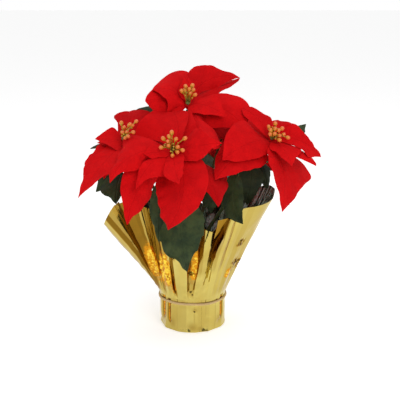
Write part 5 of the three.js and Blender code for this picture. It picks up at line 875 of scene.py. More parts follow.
# ------------------------------------------------------------------ flower clusters
EGG = [[0.0, -1.0], [0.32, -0.96], [0.62, -0.80], [0.86, -0.50], [0.98, -0.12], [0.97, 0.25], [0.84, 0.60], [0.60, 0.85], [0.34, 0.98], [0.20, 1.02], [0.10, 0.96], [0.0, 0.93]]
for k, (seat, axis) in HEADS.items():
    P, N = np.array(seat, float), unit(axis)
    X = unit(np.array([1.0, 0, 0]) - N * N[0])
    Y = np.cross(N, X)
    build = Build()
    v, f = lathe([[0, -0.25], [2.4, -0.25], [3.4, 0.3], [4.0, 1.4], [3.4, 2.4], [2.0, 3.1], [0, 3.3]], 20, P, N)
    build.add(v, f, 0, grade=np.full(len(v), 0.12), tone=np.ones(len(v)))
    for i, (bx, by, h) in enumerate(BERRIES[k]):
        rr = [0.5 + 0.5 * float(lattice(np.array([i * 7 + j]), np.array([ord(k)]), 53)[0]) for j in range(8)]
        at = P + X * bx + Y * by + N * h
        r = math.hypot(bx, by) or 1.0
        start = P + N * 1.2 + X * (2.4 * bx / r) + Y * (2.4 * by / r)
        lean = start + N * (h * 0.62) + (at - start - N * (h - 1.2)) * 0.28
        top = at - (at - lean) / np.linalg.norm(at - lean) * BERRY_R * 0.7
        q = np.linspace(0, 1, 11)[:, None]
        line = (1 - q) ** 2 * start + 2 * q * (1 - q) * lean + q**2 * top
        v, f, run = tube(line, np.linspace(STALK_R * 1.15, STALK_R * 0.85, 11), 7)
        build.add(v, f, 0, grade=0.10 + 0.28 * run / run.max(), tone=np.ones(len(v)))
        # the berry, a blunt egg on its stalk, with a dimple at its tip
        size = BERRY_R * (0.86 + 0.2 * rr[0])
        way = unit(at - lean + 0.35 * np.array([rr[1] - 0.5, rr[2] - 0.5, rr[3] - 0.5]) * 12)
        v, f = lathe([[a * size * 0.94, b * size * 1.1] for a, b in EGG], 18, at, way)
        grade = 0.5 + 0.5 * ((v - at) @ way) / (size * 1.1)
        build.add(v, f, 0, grade=0.42 + 0.62 * grade, tone=np.full(len(v), 0.93 + 0.15 * rr[4]))
        # a calyx ring and a small bud beside the stalk
        v, f = lathe([[0, -1.5], [0.9, -1.5], [1.5, -0.7], [1.9, 0.4], [1.2, 0.7], [0, 0.7]], 12, at - way * size * 0.92, way)
        build.add(v, f, 0, grade=np.full(len(v), 0.30), tone=np.ones(len(v)))
        w = 0.42 + 0.3 * rr[5]
        spot = (1 - w) ** 2 * start + 2 * w * (1 - w) * lean + w**2 * top
        out = unit(np.cross(unit(top - start), unit([rr[6] - 0.5, rr[7] - 0.5, 0.3])))
        tip = spot + out * 3.2 + unit(top - start) * 2.6
        v, f, run = tube([spot, spot + out * 1.6 + unit(top - start) * 0.8, tip], [0.5, 0.45, 0.4], 6)
        build.add(v, f, 0, grade=np.full(len(v), 0.25), tone=np.ones(len(v)))
        v, f = lathe([[a * 1.35, b * 1.75] for a, b in EGG[::1]], 10, tip, unit(tip - spot))
        build.add(v, f, 0, grade=np.full(len(v), 0.42 + 0.25 * rr[0]), tone=np.ones(len(v)))
    build.object(f"{HEAD[k]}_berries", [BERRY], [f"{HEAD[k]}_flower"], angle=50)

# ------------------------------------------------------------------ stems
build = Build()
z = np.concatenate([np.linspace(3.9, 110, 28), [114, 118, 122, 126, 128]])
rad = np.concatenate([np.full(28, TRUNK_R), [6.9, 6.6, 6.0, 5.0, 3.8]]) + 0.12 * noise(z / 6.0, 1.5, 3)
v, f, run = tube(np.stack([0 * z, 0 * z, z], 1), rad, 28)
build.add(v, f, 0)
for k, z0, lean, droop in BRANCHES:
    P, N = np.array(HEADS[k][0], float), unit(HEADS[k][1])
    t = np.linspace(0, 1, 60)
    pts = bezier(*curves[k], t)
    run = np.concatenate([[0], np.cumsum(np.linalg.norm(np.diff(pts, axis=0), axis=1))])
    rad = BRANCH_R + 0.9 * np.clip(1 - t * 7 / 3, 0, 1) + 0.35 * np.exp(-((((run / 26.0) % 1) - 0.5) / 0.05) ** 2) + 0.07 * noise(run / 5, 2.0, ord(k))
    v, f, _ = tube(pts, rad, 12)
    build.add(v, f, 0)
    line = [[-23.0, 2.3], [-21, 2.7], [-19.6, 3.2], [-18.4, 3.45], [-17.9, 3.2], [-17.7, 1.6], [-12, TIP_R], [-5, TIP_R], [-0.9, TIP_R], [-0.6, 1.2]]
    v, f, _ = tube([P + N * q for q, _ in line], [r for _, r in line], 14)
    build.add(v, f, 0)
build.object("stems", [STEM], ["stem_bush"], angle=60)

# ------------------------------------------------------------------ pot and its filling
build = Build()
v, f = lathe([[0, 1.2], [30, 1.2], [POT_R_BASE - 2, 1.2], [POT_R_BASE - 0.6, 1.8], [POT_R_BASE, 3], [POT_R_TOP, POT_H - 8.4], [POT_LIP_R - 0.2, POT_H - 7.8], [POT_LIP_R, POT_H - 7.2], [POT_LIP_R, POT_H - 0.8], [POT_LIP_R - 0.5, POT_H], [POT_R_TOP - POT_WALL + 0.4, POT_H], [POT_R_TOP - POT_WALL, POT_H - 0.6], [POT_R_TOP - POT_WALL, POT_H - 8], [POT_R_BASE - POT_WALL, 1.2 + POT_WALL], [0, 1.2 + POT_WALL]], 120)
build.add(v, f, 0)
build.object("nursery_pot", [POT], ["pot"], angle=35)

build = Build()
r_top = POT_R_BASE - POT_WALL + ((POT_R_TOP - POT_R_BASE) * (FILL_TOP - 3)) / (POT_H - 11) - 0.6
rings = [[TRUNK_R + 0.4, 3.8], [POT_R_BASE - POT_WALL - 0.6, 3.8], [r_top, FILL_TOP - 1.0]]
for q in np.linspace(r_top - 0.8, TRUNK_R + 0.4, 24):
    rings.append([q, FILL_TOP])
rings = np.array(rings)
ang = 2 * np.pi * np.arange(96) / 96
ring = np.stack([rings[:, 0, None] * np.cos(ang), rings[:, 0, None] * np.sin(ang), np.broadcast_to(rings[:, 1, None], (len(rings), 96))], -1)
top = ring[3:]
top[..., 2] += 0.9 * noise(top[..., 0] / 9, top[..., 1] / 9, 5) + 0.45 * noise(top[..., 0] / 3, top[..., 1] / 3, 6) + 1.3 * smooth(22, 8, np.hypot(top[..., 0], top[..., 1]))
idx = np.arange(len(rings) * 96).reshape(-1, 96)
nxt = np.roll(idx, -1, axis=1)
build.add(ring, [quads(idx, nxt, np.roll(nxt, -1, axis=0), np.roll(idx, -1, axis=0))], 0)
build.object("plaster_filling", [PLASTER], ["filling"], angle=60)

# ------------------------------------------------------------------ foil wrap
RIM_Q = np.array([-r[0] for r in RIM], float)
RIM_P = np.array([r[1:] for r in RIM], float)


def rim_curve(q):
    n = len(RIM_Q)
    q = np.mod(q, 360.0)
    i = np.searchsorted(RIM_Q, q, side="right") - 1
    get = lambda k: (RIM_Q[k % n] + 360.0 * (k // n), RIM_P[k % n])
    (xa, a), (xb, b), (xc, c), (xd, d) = get(i - 1), get(i), get(i + 1), get(i + 2)
    h = xc - xb
    t = ((q - xb) / h)[:, None]
    m0 = (c - a) * (0.85 * h / (xc - xa))[:, None]
    m1 = (d - b) * (0.85 * h / (xd - xb))[:, None]
    return (2 * t**3 - 3 * t**2 + 1) * b + (t**3 - 2 * t**2 + t) * m0 + (-2 * t**3 + 3 * t**2) * c + (t**3 - t**2) * m1


def ring_points(q, r, z):
    f = -np.radians(q)
    return np.stack([r * np.cos(f), r * np.sin(f), np.broadcast_to(z, f.shape)], -1)


# folds of the collar: angle at the rim, depth in mm at the four heights FOLD_T (out is positive),
# how far its line wanders sideways in degrees by mid height and by the tie, how sharp the panel after it is,
# how deep its painted shade is below and above mid height
FOLD_T = [0.0, 0.10, 0.33, 0.66, 1.0]
FOLDS = [
    (2, 0.2, 0.3, 0.2, 0, 0, 0, 0.3, 0.2, 0.26),
    (11, 0.1, -0.5, -0.2, 0.2, 0, 0, 0.3, 0.15, 0.24),
    (19, 0.3, 0.9, 0.3, 0, -1, -2, 0.5, 0.2, 0.24),
    (27, -0.4, -1.8, -0.5, 0, 1, 2, 0.5, 0.3, 0.22),
    (35, 0.5, 1.6, 0.4, 0.2, 2, 2, 0.4, 0.2, 0.24),
    (43, -0.2, -0.8, -0.6, -0.4, 1, 2, 0.5, 0.15, 0.2),
    (48.5, 0.4, 0.8, 0.7, 0.5, 1, 2, 0.8, 0.05, 0.1),
    (52, -0.4, -0.8, -1.4, -1.2, 1, 2, 0.8, 0.1, 0.45),
    (55.5, 0.3, 0.5, 0.6, 0.4, 3, 3, 0.8, 0, 0.1),
    (58.5, -0.1, 0.2, -1.6, -1.4, 6, 5, 0.9, 0, 0.35),
    (63, 0.4, 1.3, 2.0, 1, 6, 4, 1, 0.0, 0.45),
    (66, 0.3, 0.9, -5.2, -4.4, 4.5, 3, 1, 0.05, 0.8),
    (69.5, 0.2, 0.6, -6.8, -6.2, 3, 1.5, 1, 0.05, 0.72),
    (73.5, 0.1, 0.1, -2, -2.5, 2, 1, 1, 0.05, 0.3),
    (76, -0.3, -0.2, -1.4, -1, 0.5, 1, 0.8, 0, 0.25),
    (80.5, 0.3, 0.6, 0.8, 0.5, -2, 0, 0.6, 0.0, 0.15),
    (86, 0.5, 1.2, 1.2, 0.5, -3, -1, 0.8, 0.0, 0.3),
    (89, 0.4, 0.8, 0.6, 0.3, -2.5, 0, 1, 0.35, 0.55),
    (91.5, -0.6, -3.2, -2.4, -0.6, -2, 0, 1, 0.35, 0.6),
    (94.5, -0.9, -4.8, -2.6, -0.8, -1, 0.5, 1, 0.3, 0.7),
    (98, 0.8, 1.6, 0.4, 0, 1, 1, 1, 0, 0),
    (101, 0.4, 0.3, 0.2, 0, 0, 0, 0.7, 0, 0),
    (108, 0.6, 1, 0.6, 0.3, 0, 0, 0.5, 0.05, 0),
    (114.5, 1.2, 3, 2, 0.8, 0, 0.5, 1, 0.95, 0.7),
    (116.2, -2.6, -5.6, -5, -1.6, 0.4, 0.6, 1, 1, 1),
    (119, -2.8, -6, -5.2, -1.8, 0.6, 0.6, 1, 0.6, 0.6),
    (121.5, 0.6, 2.4, 1.6, 0.6, 0.5, 0.5, 0.7, 0, 0),
    (127, -0.4, 0.6, -1.4, -0.8, 0, 0, 0.8, 0.1, 0.4),
    (132, 0.5, 1.6, 1.6, 1, 0, 0, 0.8, 0, 0.75),
    (136.5, -0.8, -0.2, -2.0, -1.8, 2, 3, 1, 0.5, 0.9),
    (139.4, 0.4, 0.6, 0.8, 0.7, 2, 3, 1, 0.6, 0.95),
    (141.6, -0.6, -0.9, -0.9, -0.8, 2.4, 4, 1, 0.1, 0.0),
    (143.4, 0.4, 0.5, 0.9, 0.8, 2.4, 4, 1, 0.3, 0.95),
    (145.2, -0.6, 0.2, -1.7, -1.6, 2, 3, 1, 0, 0.35),
    (146.8, 0.3, 0.6, 0.9, 0.8, 1.5, 2, 1, 0, 0.9),
    (148.4, -0.3, 0.2, -1.7, -1.6, 1, 1.5, 1, 0, 0.2),
    (150, 0.3, 0.6, 0.9, 0.8, 0.6, 1, 1, 0, 0.9),
    (151.8, -0.3, 0, -1.9, -1.8, 0.2, 0.6, 1, 0, 0.35),
    (153.4, 0.3, 0.6, 0.9, 0.8, 0, 0, 1, 0.1, 1),
    (155.6, -0.8, -1.4, -3.0, -2.8, -1, -1, 1, 0.5, 0.92),
    (159.2, -0.2, 0.4, -1.4, -1.6, -1.4, -1, 1, 0.7, 0.85),
    (162.6, 1.0, 2.6, 1.6, 0.8, -1.6, -1.3, 1, 0.9, 0.86),
    (165, 1.2, 3.9, 4.8, 3.9, -2, -1.5, 1, 0.95, 1),
    (166.6, -1.3, -3.38, -4.68, -3.9, -2.4, -1.5, 1, 0.6, 0.55),
    (168.4, 0.48, 1.92, 2.4, 1.92, -2.6, -1.5, 1, 0.7, 0.7),
    (170.0, -1.0, -3.0, -4.0, -3.4, -2.8, -1.5, 1, 0.5, 0.55),
    (171.6, 0.6, 2.2, 2.8, 2.3, -3, -1.6, 1, 0.45, 0.45),
    (173.0, -1.2, -3.4, -4.2, -3.6, -3, -1.6, 1, 0.2, 0.25),
    (175.8, -1.2, -3.4, -4.2, -3.4, -2.6, -1.4, 1, 0.95, 1),
    (177.4, 0.4, 1.0, 1.5, 1.1, -2.2, -1.2, 1, 0.15, 0.2),
    (179.4, 0.1, 0.3, 0.5, 0.3, -1.2, -0.6, 1, 0.35, 0.45),
    (181.5, 0.6, 1, 1.2, 0.8, 0, 0, 0.9, 0.6, 0.6),
    (184.5, -0.8, -2.6, -3.4, -2.6, 0, 0, 1, 0.2, 0.2),
    (187.5, 0.4, 1.2, 1.6, 1.2, 0, 0, 1, 0.6, 0.6),
]
# pleats of the rest of the collar: from angle, to angle, spacing at the rim, depth at the rim, sharpness
PLEATS = [
    (190, 255, 8.5, 3.0, 0.9),
    (255, 322, 10.5, 3.4, 0.9),
    (322, 350, 15.0, 1.2, 0.5),
    (350, 360, 26.0, 0.4, 0.3),
]
# crumpled places of the collar: angle, share of the way up, half size round and up in mm, depth mm, facet size mm,
# strength of its painted glints, how dark the painted shade in its hollows is
CRUSH = [
    (153.5, 0.41, 18.5, 26, 1.6, 6.0, 1.0, 0.0),
    (130.8, 0.38, 15, 27, 1.6, 6.0, 1.0, 0.0),
    (120, 0.15, 4, 9, 1.2, 6.0, 0.4, 0.0),
    (92.0, 0.50, 4.6, 21, 0.5, 5.0, 0.78, 0.25),
    (64, 0.60, 4.5, 9, 1.2, 6.0, 0.25, 0.3),
    (27, 0.40, 13, 9, 2.6, 6.5, 0.05, 1.3),
    (35.5, 0.31, 5.5, 8, 1.4, 5.0, 0.75, 0.4),
    (33, 0.645, 12, 4.5, 2.4, 5.0, 0.03, 1.3),
    (100, 0.06, 8, 9, 0.7, 6.0, 0.05, 0.1),
    (88, 0.05, 9, 10, 0.8, 6.0, 0.12, 0.1),
    (236, 0.35, 26, 30, 3.0, 8.0, 0.16, 0.1),
    (300, 0.50, 24, 30, 3.0, 8.0, 0.16, 0.1),
]
# upright creases of the wall: angle, half width in degrees, depth mm, from height, to height
CREASES = [
    (151.0, 7.5, 3.4, 18, 60),
    (134.5, 4.4, 2.6, 14, 54),
    (117.0, 1.6, 0.7, 6, 60),
    (86.5, 1.6, 0.6, 2, 44),
    (66.0, 1.4, 0.6, 28, 60),
    (46.0, 1.5, 0.5, 6, 48),
    (28.5, 6.5, 3.2, 18, 60),
    (170.0, 2.2, 1.0, 4, 50),
    (8.0, 2.4, 1.0, 4, 50),
    (205.0, 3.0, 1.4, 14, 56),
    (228.0, 2.0, 0.9, 4, 50),
    (251.0, 3.4, 1.5, 18, 58),
    (281.0, 2.0, 0.9, 4, 52),
    (306.0, 3.2, 1.5, 16, 58),
    (336.0, 2.4, 1.1, 4, 50),
]
# where a free edge of the film lies on the layer below: angle, step mm, fading out over degrees
EDGES = [(99.3, 0.75, 12.0), (74.0, 0.55, 9.0), (262.0, 0.8, 14.0), (190.0, 0.6, 12.0)]
# dents of the wall: angle, height, half size round and up in mm, depth mm, facet size mm
DENTS = [
    (85, 38.5, 4.5, 3.6, 1.7, 5.0),
    (67, 19, 13, 17, 1.5, 14.0),
    (35, 17, 9, 7, 1.7, 8.0),
    (156, 14, 9, 9, 1.5, 7.0),
    (128, 14, 9, 12, 1.1, 9.0),
    (90, 9, 9, 8, 0.35, 9.0),
    (76, 6, 8, 5, 0.4, 6.0),
    (215, 30, 14, 12, 2.0, 8.0),
    (320, 26, 14, 14, 2.0, 8.0),
]
# straight runs of the foot: from angle, to angle
CHORDS = [(31, 60), (62, 84), (118, 144), (146, 181), (214, 246), (290, 322)]
# painted reflections: pale patches of the inside, where the film is taut: angle, share of the way up, half size in
# degrees and in share, strength
TAUT_GLINTS = [
    (289.5, 0.79, 3.6, 0.075, 1.0),
    (295.5, 0.71, 2.8, 0.06, 0.95),
    (286.0, 0.95, 1.6, 0.04, 0.6),
    (324.0, 0.91, 1.2, 0.07, 0.75),
    (329.5, 0.93, 1.5, 0.08, 1.0),
    (334.5, 0.90, 1.1, 0.07, 0.8),
    (340.0, 0.93, 1.6, 0.05, 0.95),
    (346.5, 0.94, 1.4, 0.05, 0.7),
    (353.0, 0.95, 1.4, 0.03, 0.55),
    (319.5, 0.86, 1.0, 0.06, 0.5),
]
LIP_CLEAR = 1.1


def collar_base(q, t):
    """Plain surface of the collar between the tie and the rim, with its outward normal."""
    def place(q):
        low = ring_points(q, WRAP_R + 0.6, NECK_Z)
        high = rim_curve(q)
        mid = low * 0.62 + high * 0.38 + [0, 0, 3.0]
        t_ = t[..., None] if np.ndim(t) else t
        return low * (1 - t_) ** 2 + mid * 2 * t_ * (1 - t_) + high * t_ * t_, 2 * ((mid - low) * (1 - t_) + (high - mid) * t_)

    p, up = place(q)
    side = place(q + 0.7)[0] - place(q - 0.7)[0]
    n = unit(np.cross(side, up))
    s = np.sign((n * (p * [1, 1, 0])).sum(-1) + (n[..., 2] * -20.0))
    return p, n * np.sign(s.sum() + 1e-9)


def foil():
    fine = np.linspace(0, 360, 2881)
    curve = rim_curve(fine)
    step = np.linalg.norm(np.diff(curve, axis=0), axis=1) + NECK_Z * 2 * np.pi / 2880
    cum = np.concatenate([[0], np.cumsum(step)])
    total = cum[-1]
    table = [list(f) for f in FOLDS]
    q = 190.5
    i = 0
    while True:
        row = next(p for p in PLEATS if q < p[1])
        w = 0.5 + 0.5 * float(lattice(np.array([i]), np.array([5]), 71)[0])
        v = 0.5 + 0.5 * float(lattice(np.array([i]), np.array([9]), 73)[0])
        d = row[3] * (0.45 + 1.0 * w) * (1 if i % 2 else -1)
        if d > 0:
            d *= 0.45
        # the last two values are the painted shade of every second pleat
        table.append([q, d * 0.3 * (0.4 + 1.2 * v), d * (0.4 + 0.9 * v), d * (0.7 + 0.4 * v), d * 0.75, 2 * (v - 0.5), 3 * (w - 0.5), row[4], 0.7 * w * (i % 2), 0.9 * v * (i % 2)])
        a = float(np.interp(q, fine, cum))
        q = float(np.interp(a + row[2] * (0.5 + 1.0 * v), cum, fine))
        i += 1
        if q > 357.5:
            break
    if len(table) % 2:
        table.pop()
    T = np.array(table, float)
    n = len(T)
    nxt = (np.arange(n) + 1) % n
    q_c = T[:, 0]
    arc_c = np.interp(q_c, fine, cum)
    lo, hi, frac, cq = [], [], [], []
    for i in range(n):
        a, b = arc_c[i], arc_c[nxt[i]] + (total if i == n - 1 else 0)
        seen = q_c[i] < 189 or q_c[i] > 352
        m = max(2, int(round((b - a) / (FRONT_STEP if seen else BACK_STEP))))
        x = np.arange(m) / m
        lo.append(np.full(m, i))
        hi.append(np.full(m, nxt[i]))
        frac.append(x)
        q1 = q_c[nxt[i]] + (360 if i == n - 1 else 0)
        cq.append(q_c[i] + (q1 - q_c[i]) * x)
    lo, hi, frac, q = (np.concatenate(v) for v in (lo, hi, frac, cq))
    C = len(q)
    q = np.mod(q, 360.0)
    arc = np.interp(q, fine, cum)
    seam = float(np.interp(262.0, fine, cum))
    run = np.mod(arc - seam, total)
    at_seam = smooth(0.0, 14.0, np.minimum(run, total - run))
    run_wall = np.mod(q - 262.0, 360.0) * 0.96

    def depths(t):
        d = np.array([np.interp(t, FOLD_T, [0.0, *T[i, 1:5]]) for i in range(n)])
        s = np.array([np.interp(t, [0, 0.10, 0.5, 1.0], [0.0, T[i, 6], T[i, 5], 0.0]) for i in range(n)])
        return d, s

    def row(t):
        d, s = depths(t)
        p, nor = collar_base(np.mod(q_c + s, 360.0), t)
        p = p + nor * d[:, None]
        straight = p[lo] * (1 - frac[:, None]) + p[hi] * frac[:, None]
        sq = s[lo] * (1 - frac) + s[hi] * frac
        bent, nb = collar_base(np.mod(q + sq, 360.0), t)
        dd = d[lo] * (1 - frac) + d[hi] * frac
        bent = bent + nb * dd[:, None]
        sharp = T[lo, 7] * float(smooth(0.0, 0.12, t))
        return bent * (1 - sharp[:, None]) + straight * sharp[:, None], dd, nb

    def turned(a, b):
        return np.mod(a - b + 180.0, 360.0) - 180.0

    # the wall, in flat upright panels
    marks = np.sort(np.array([c[0] for c in CREASES]))
    edges = np.concatenate([marks, [marks[0] + 360.0]])
    qq = np.where(q < marks[0], q + 360.0, q)
    at = np.clip(np.searchsorted(edges, qq, side="right") - 1, 0, len(edges) - 2)
    half = (edges[at + 1] - edges[at]) / 2
    middle = (edges[at + 1] + edges[at]) / 2
    flat = 1 - np.cos(np.radians(half)) / np.cos(np.radians(qq - middle))
    panel = lattice(at, at * 0 + 3, 75)
    profile_z = [0, 0, 0, 0.45, 1.6, 3.6, 6, 8.5, 11, 13.5, 16, 18.5, 21, 23.5, 26, 28.5, 31, 33.5, 36, 38.3, 40.5, 42.6, 44.5, 46.4, 48.3, 49.1, 50.9, 51.7, 53.8, 56.2]
    profile_r = [18, 40, 53.0, 54.3] + [55] * 19 + [54.97, 54.6, 53.45, 53.45, 54.6, 55.0, 55.25]
    rows, deep = [], []
    first = row(0.0)[1]
    for r, z in zip(profile_r, profile_z):
        wall = float(smooth(0.6, 9, z) * smooth(51.0, 40, z))
        pinch = math.exp(-(((z - TIE_Z) / 2.2) ** 2))
        rr = r * (1 - np.minimum(flat, 0.055) * (0.92 * wall + 0.06) * (1.0 if z > 0.2 else 0.4))
        foot = float(smooth(22, 5, z))
        for qa, qb in CHORDS:
            inside = (q > qa) & (q < qb)
            cut = 1 - np.cos(np.radians((qb - qa) / 2)) / np.cos(np.radians(np.clip(q - (qa + qb) / 2, -30, 30)))
            rr = rr * (1 - np.where(inside, cut, 0) * foot)
        glow = np.zeros(C)
        # painted shade: the wall is darker from 99° to 200° and from 56° to 82°
        dark = 0.16 * smooth(99, 102, q) * smooth(200, 190, q) + 0.10 * smooth(82, 79, q) * smooth(56, 62, q)
        if z > 2:
            for c, w, depth, z0, z1 in CREASES:
                window = float(smooth(z0 - 7, z0 + 7, z) * smooth(z1 + 4, z1 - 4, z))
                v = np.clip(1 - np.abs(turned(q, c)) / w, 0, 1) * window * (1 - 0.55 * pinch)
                rr = rr - depth * v
                # painted shade in the crease, and painted glints beside the deep creases
                dark = np.maximum(dark, smooth(0.02, 0.45, v) * min(0.8, depth / 3.2))
                if depth > 2:
                    glow = np.maximum(glow, 0.5 * smooth(0.25, 0.8, v))
                lift = np.exp(-(((np.abs(turned(q, c)) - w * 1.25) / (w * 0.35)) ** 2)) * window
                rr = rr + 0.22 * depth * lift * (1 - pinch)
            for c, height, fade in EDGES:
                a = turned(q, c)
                rr = rr + height * np.where(a > 0, np.clip(1 - a / fade, 0, 1), np.clip(1 + a / 0.35, 0, 1)) * (1 - pinch) * float(smooth(1, 5, z))
            rr = rr + 0.45 * wall * noise(run_wall / 24.0, z / 34.0, 83) * at_seam
            rr = rr + 0.22 * wall * crumple(run_wall, np.full(C, z * 0.8), 13.0, 84) * at_seam
            for c, cz, wx, wz, depth, size in DENTS:
                near = np.exp(-((turned(q, c) * 0.96 / wx) ** 2) - ((z - cz) / wz) ** 2)
                rr = rr + depth * near * (crumple(turned(q, c) * 0.96 + 40, np.full(C, z), size, 85) - 0.45)
                # painted shade in the small dents
                dark = np.maximum(dark, 0.35 * near * (size < 12))
        if z > 44:
            # small gathers at the tie
            gather = crumple(run_wall * 1.0, np.full(C, 3.0), 3.4, 86)
            rr = rr + 0.55 * gather * float(smooth(43, 50, z)) * (1 - 0.6 * pinch) * at_seam
        rows.append(ring_points(q, rr, z))
        deep.append(np.stack([dark, 0.8 * glow, 0.5 + 0.5 * panel], 1))
    base = len(profile_z)
    tt = np.linspace(0, 1, COLLAR_ROWS)
    taut = [v * [1, 0, 1] for v in deep]
    crush_at = np.interp([c[0] for c in CRUSH], fine, cum)
    for t in tt:
        p, dd, nb = row(float(t))
        x = run * (0.32 + 0.68 * t)
        length = np.linalg.norm(rim_curve(q) - ring_points(q, WRAP_R + 0.6, NECK_Z), axis=1)
        y = length * t
        soft = float(smooth(0.0, 0.14, t))
        d = (0.22 * crumple(x, y * 0.6, 13.0, 90) + 0.9 * noise(x / 40, y / 60, 96)) * soft
        wrinkle_and_glint = np.zeros(C)
        painted_hollow_shade = np.zeros(C)
        for (c, ct, wx, wy, depth, size, glow, hollow_shade), ca in zip(CRUSH, crush_at):
            ax = (np.mod(arc - ca + total / 2, total) - total / 2) * (0.32 + 0.68 * t)
            near = np.exp(-((ax / wx) ** 2) - ((length * (t - ct)) / wy) ** 2)
            near = np.clip(near * 2.0, 0, 1) * float(smooth(-0.02, 0.06, t))
            d = d + depth * near * (0.8 * crumple(ax + 50, y, size, 97) + 0.22 * crumple(ax + 80, y, size * 0.5, 99))
            # painted glints on the crumpled facets, and painted shade in their hollows
            tint = 0.86 + 0.20 * crumple(ax + 20, y, size * 0.75, 98)
            wrinkle_and_glint = np.maximum(wrinkle_and_glint, near * glow * tint)
            painted_hollow_shade = np.maximum(painted_hollow_shade, near * hollow_shade * smooth(0.02, 0.30, -crumple(ax + 35, y, size * 0.7, 94)))
        # the fold that parts the two crumpled lobes on the left: painted shade along it, and no painted glints there
        parting = np.exp(-(((q - 137.0 - 23.0 * (0.6 - t)) / 0.9) ** 2)) * float(smooth(0.06, 0.16, t) * smooth(0.70, 0.60, t))
        wrinkle_and_glint = wrinkle_and_glint * (1 - 0.85 * parting)
        painted_hollow_shade = np.maximum(painted_hollow_shade, 1.05 * parting)
        if t < 0.2:
            d = d + 0.5 * crumple(run_wall, np.full(C, 3.0), 3.4, 86) * float(smooth(0.2, 0.0, t))
        p = p + nb * (d * at_seam)[:, None]
        # the film stays clear of the pot's lip
        rad = np.hypot(p[:, 0], p[:, 1])
        need = POT_R_TOP + LIP_CLEAR + 0.6 + (POT_LIP_R - POT_R_TOP) * smooth(84, 88, p[:, 2]) - 0.45 * np.maximum(p[:, 2] - 99.5 - LIP_CLEAR, 0.0)
        k = np.maximum(1.0, need / rad)
        p = p * np.stack([k, k, np.ones(C)], 1)
        rows.append(p)
        up = np.where((T[lo, 0] > 60) & (T[lo, 0] < 75), float(smooth(0.44, 0.60, t)), float(smooth(0.32, 0.50, t)))
        # painted shade in the folds: from the fold table, and darker where the film folds inwards
        tone = (T[lo, 8] * (1 - up) + T[lo, 9] * up) * float(smooth(0.0, 0.10, t))
        painted_valley_shade = np.maximum(np.clip(np.maximum(tone, -dd / 9.0), 0, 1), np.minimum(painted_hollow_shade, 1.3))
        flat_panel = lattice(lo, lo * 0 + 4, 76) * soft + panel * (1 - soft)
        deep.append(np.stack([painted_valley_shade, wrinkle_and_glint, 0.5 + 0.5 * flat_panel], 1))
        # painted reflections on the inside, carried in the wrinkle channel of its lay
        patch = np.zeros(C)
        for c, ct, wq, wt, f in TAUT_GLINTS:
            patch = np.maximum(patch, f * np.exp(-((turned(q, c) / wq) ** 4) - ((t - ct) / wt) ** 4))
        taut.append(np.stack([painted_valley_shade, patch, 0.5 + 0.5 * flat_panel], 1))
    g = np.stack(rows)
    deep, taut = np.stack(deep), np.stack(taut)
    wrap = lambda a: np.concatenate([a[:, -1:], a, a[:, :1]], axis=1)
    nor = grid_normals(wrap(g))[:, 1:-1]
    if (nor[8] * (g[8] * [1, 1, 0])).sum() < 0:
        nor = -nor
    inner = g - nor * FILM
    for k in range(3):
        inner[k] = g[k] * [0.997, 0.997, 1] + [0, 0, FILM]
    inner[3] = g[3] * [0.996, 0.996, 1] + [0, 0, 0.12]
    R = len(g)
    idx = np.arange(R * C).reshape(R, C)
    after = np.roll(idx, -1, axis=1)
    # columns run clockwise seen from above, so the outside is on this side
    outer_f = quads(idx[:-1], idx[1:], after[1:], after[:-1])
    inner_f = quads(idx[:-1], after[:-1], after[1:], idx[1:]) + R * C
    edge_f = quads(idx[-1], idx[-1] + R * C, after[-1] + R * C, after[-1])
    oc, ic = 2 * R * C, 2 * R * C + 1
    fan_o = np.stack([np.full(C, oc), idx[0], after[0]], 1)
    fan_i = np.stack([np.full(C, ic), after[0] + R * C, idx[0] + R * C], 1)
    pts = np.concatenate([g.reshape(-1, 3), inner.reshape(-1, 3), [[0, 0, 0]], [[0, 0, FILM]]])
    lay = np.concatenate([deep.reshape(-1, 3), taut.reshape(-1, 3), [[0, 0, 0.5]], [[0, 0, 0.5]]])
    build = Build()
    build.add(pts, [outer_f, inner_f, edge_f, fan_o, fan_i], [0, 1, 0, 0, 1], lay=lay)
    return build.object("foil_sheet", [GOLD, SILVER], ["foil_wrap"], angle=FOIL_ANGLE)


FRONT_STEP = 2.1
BACK_STEP = 3.4
COLLAR_ROWS = 46
FOIL_ANGLE = 20

film = foil()

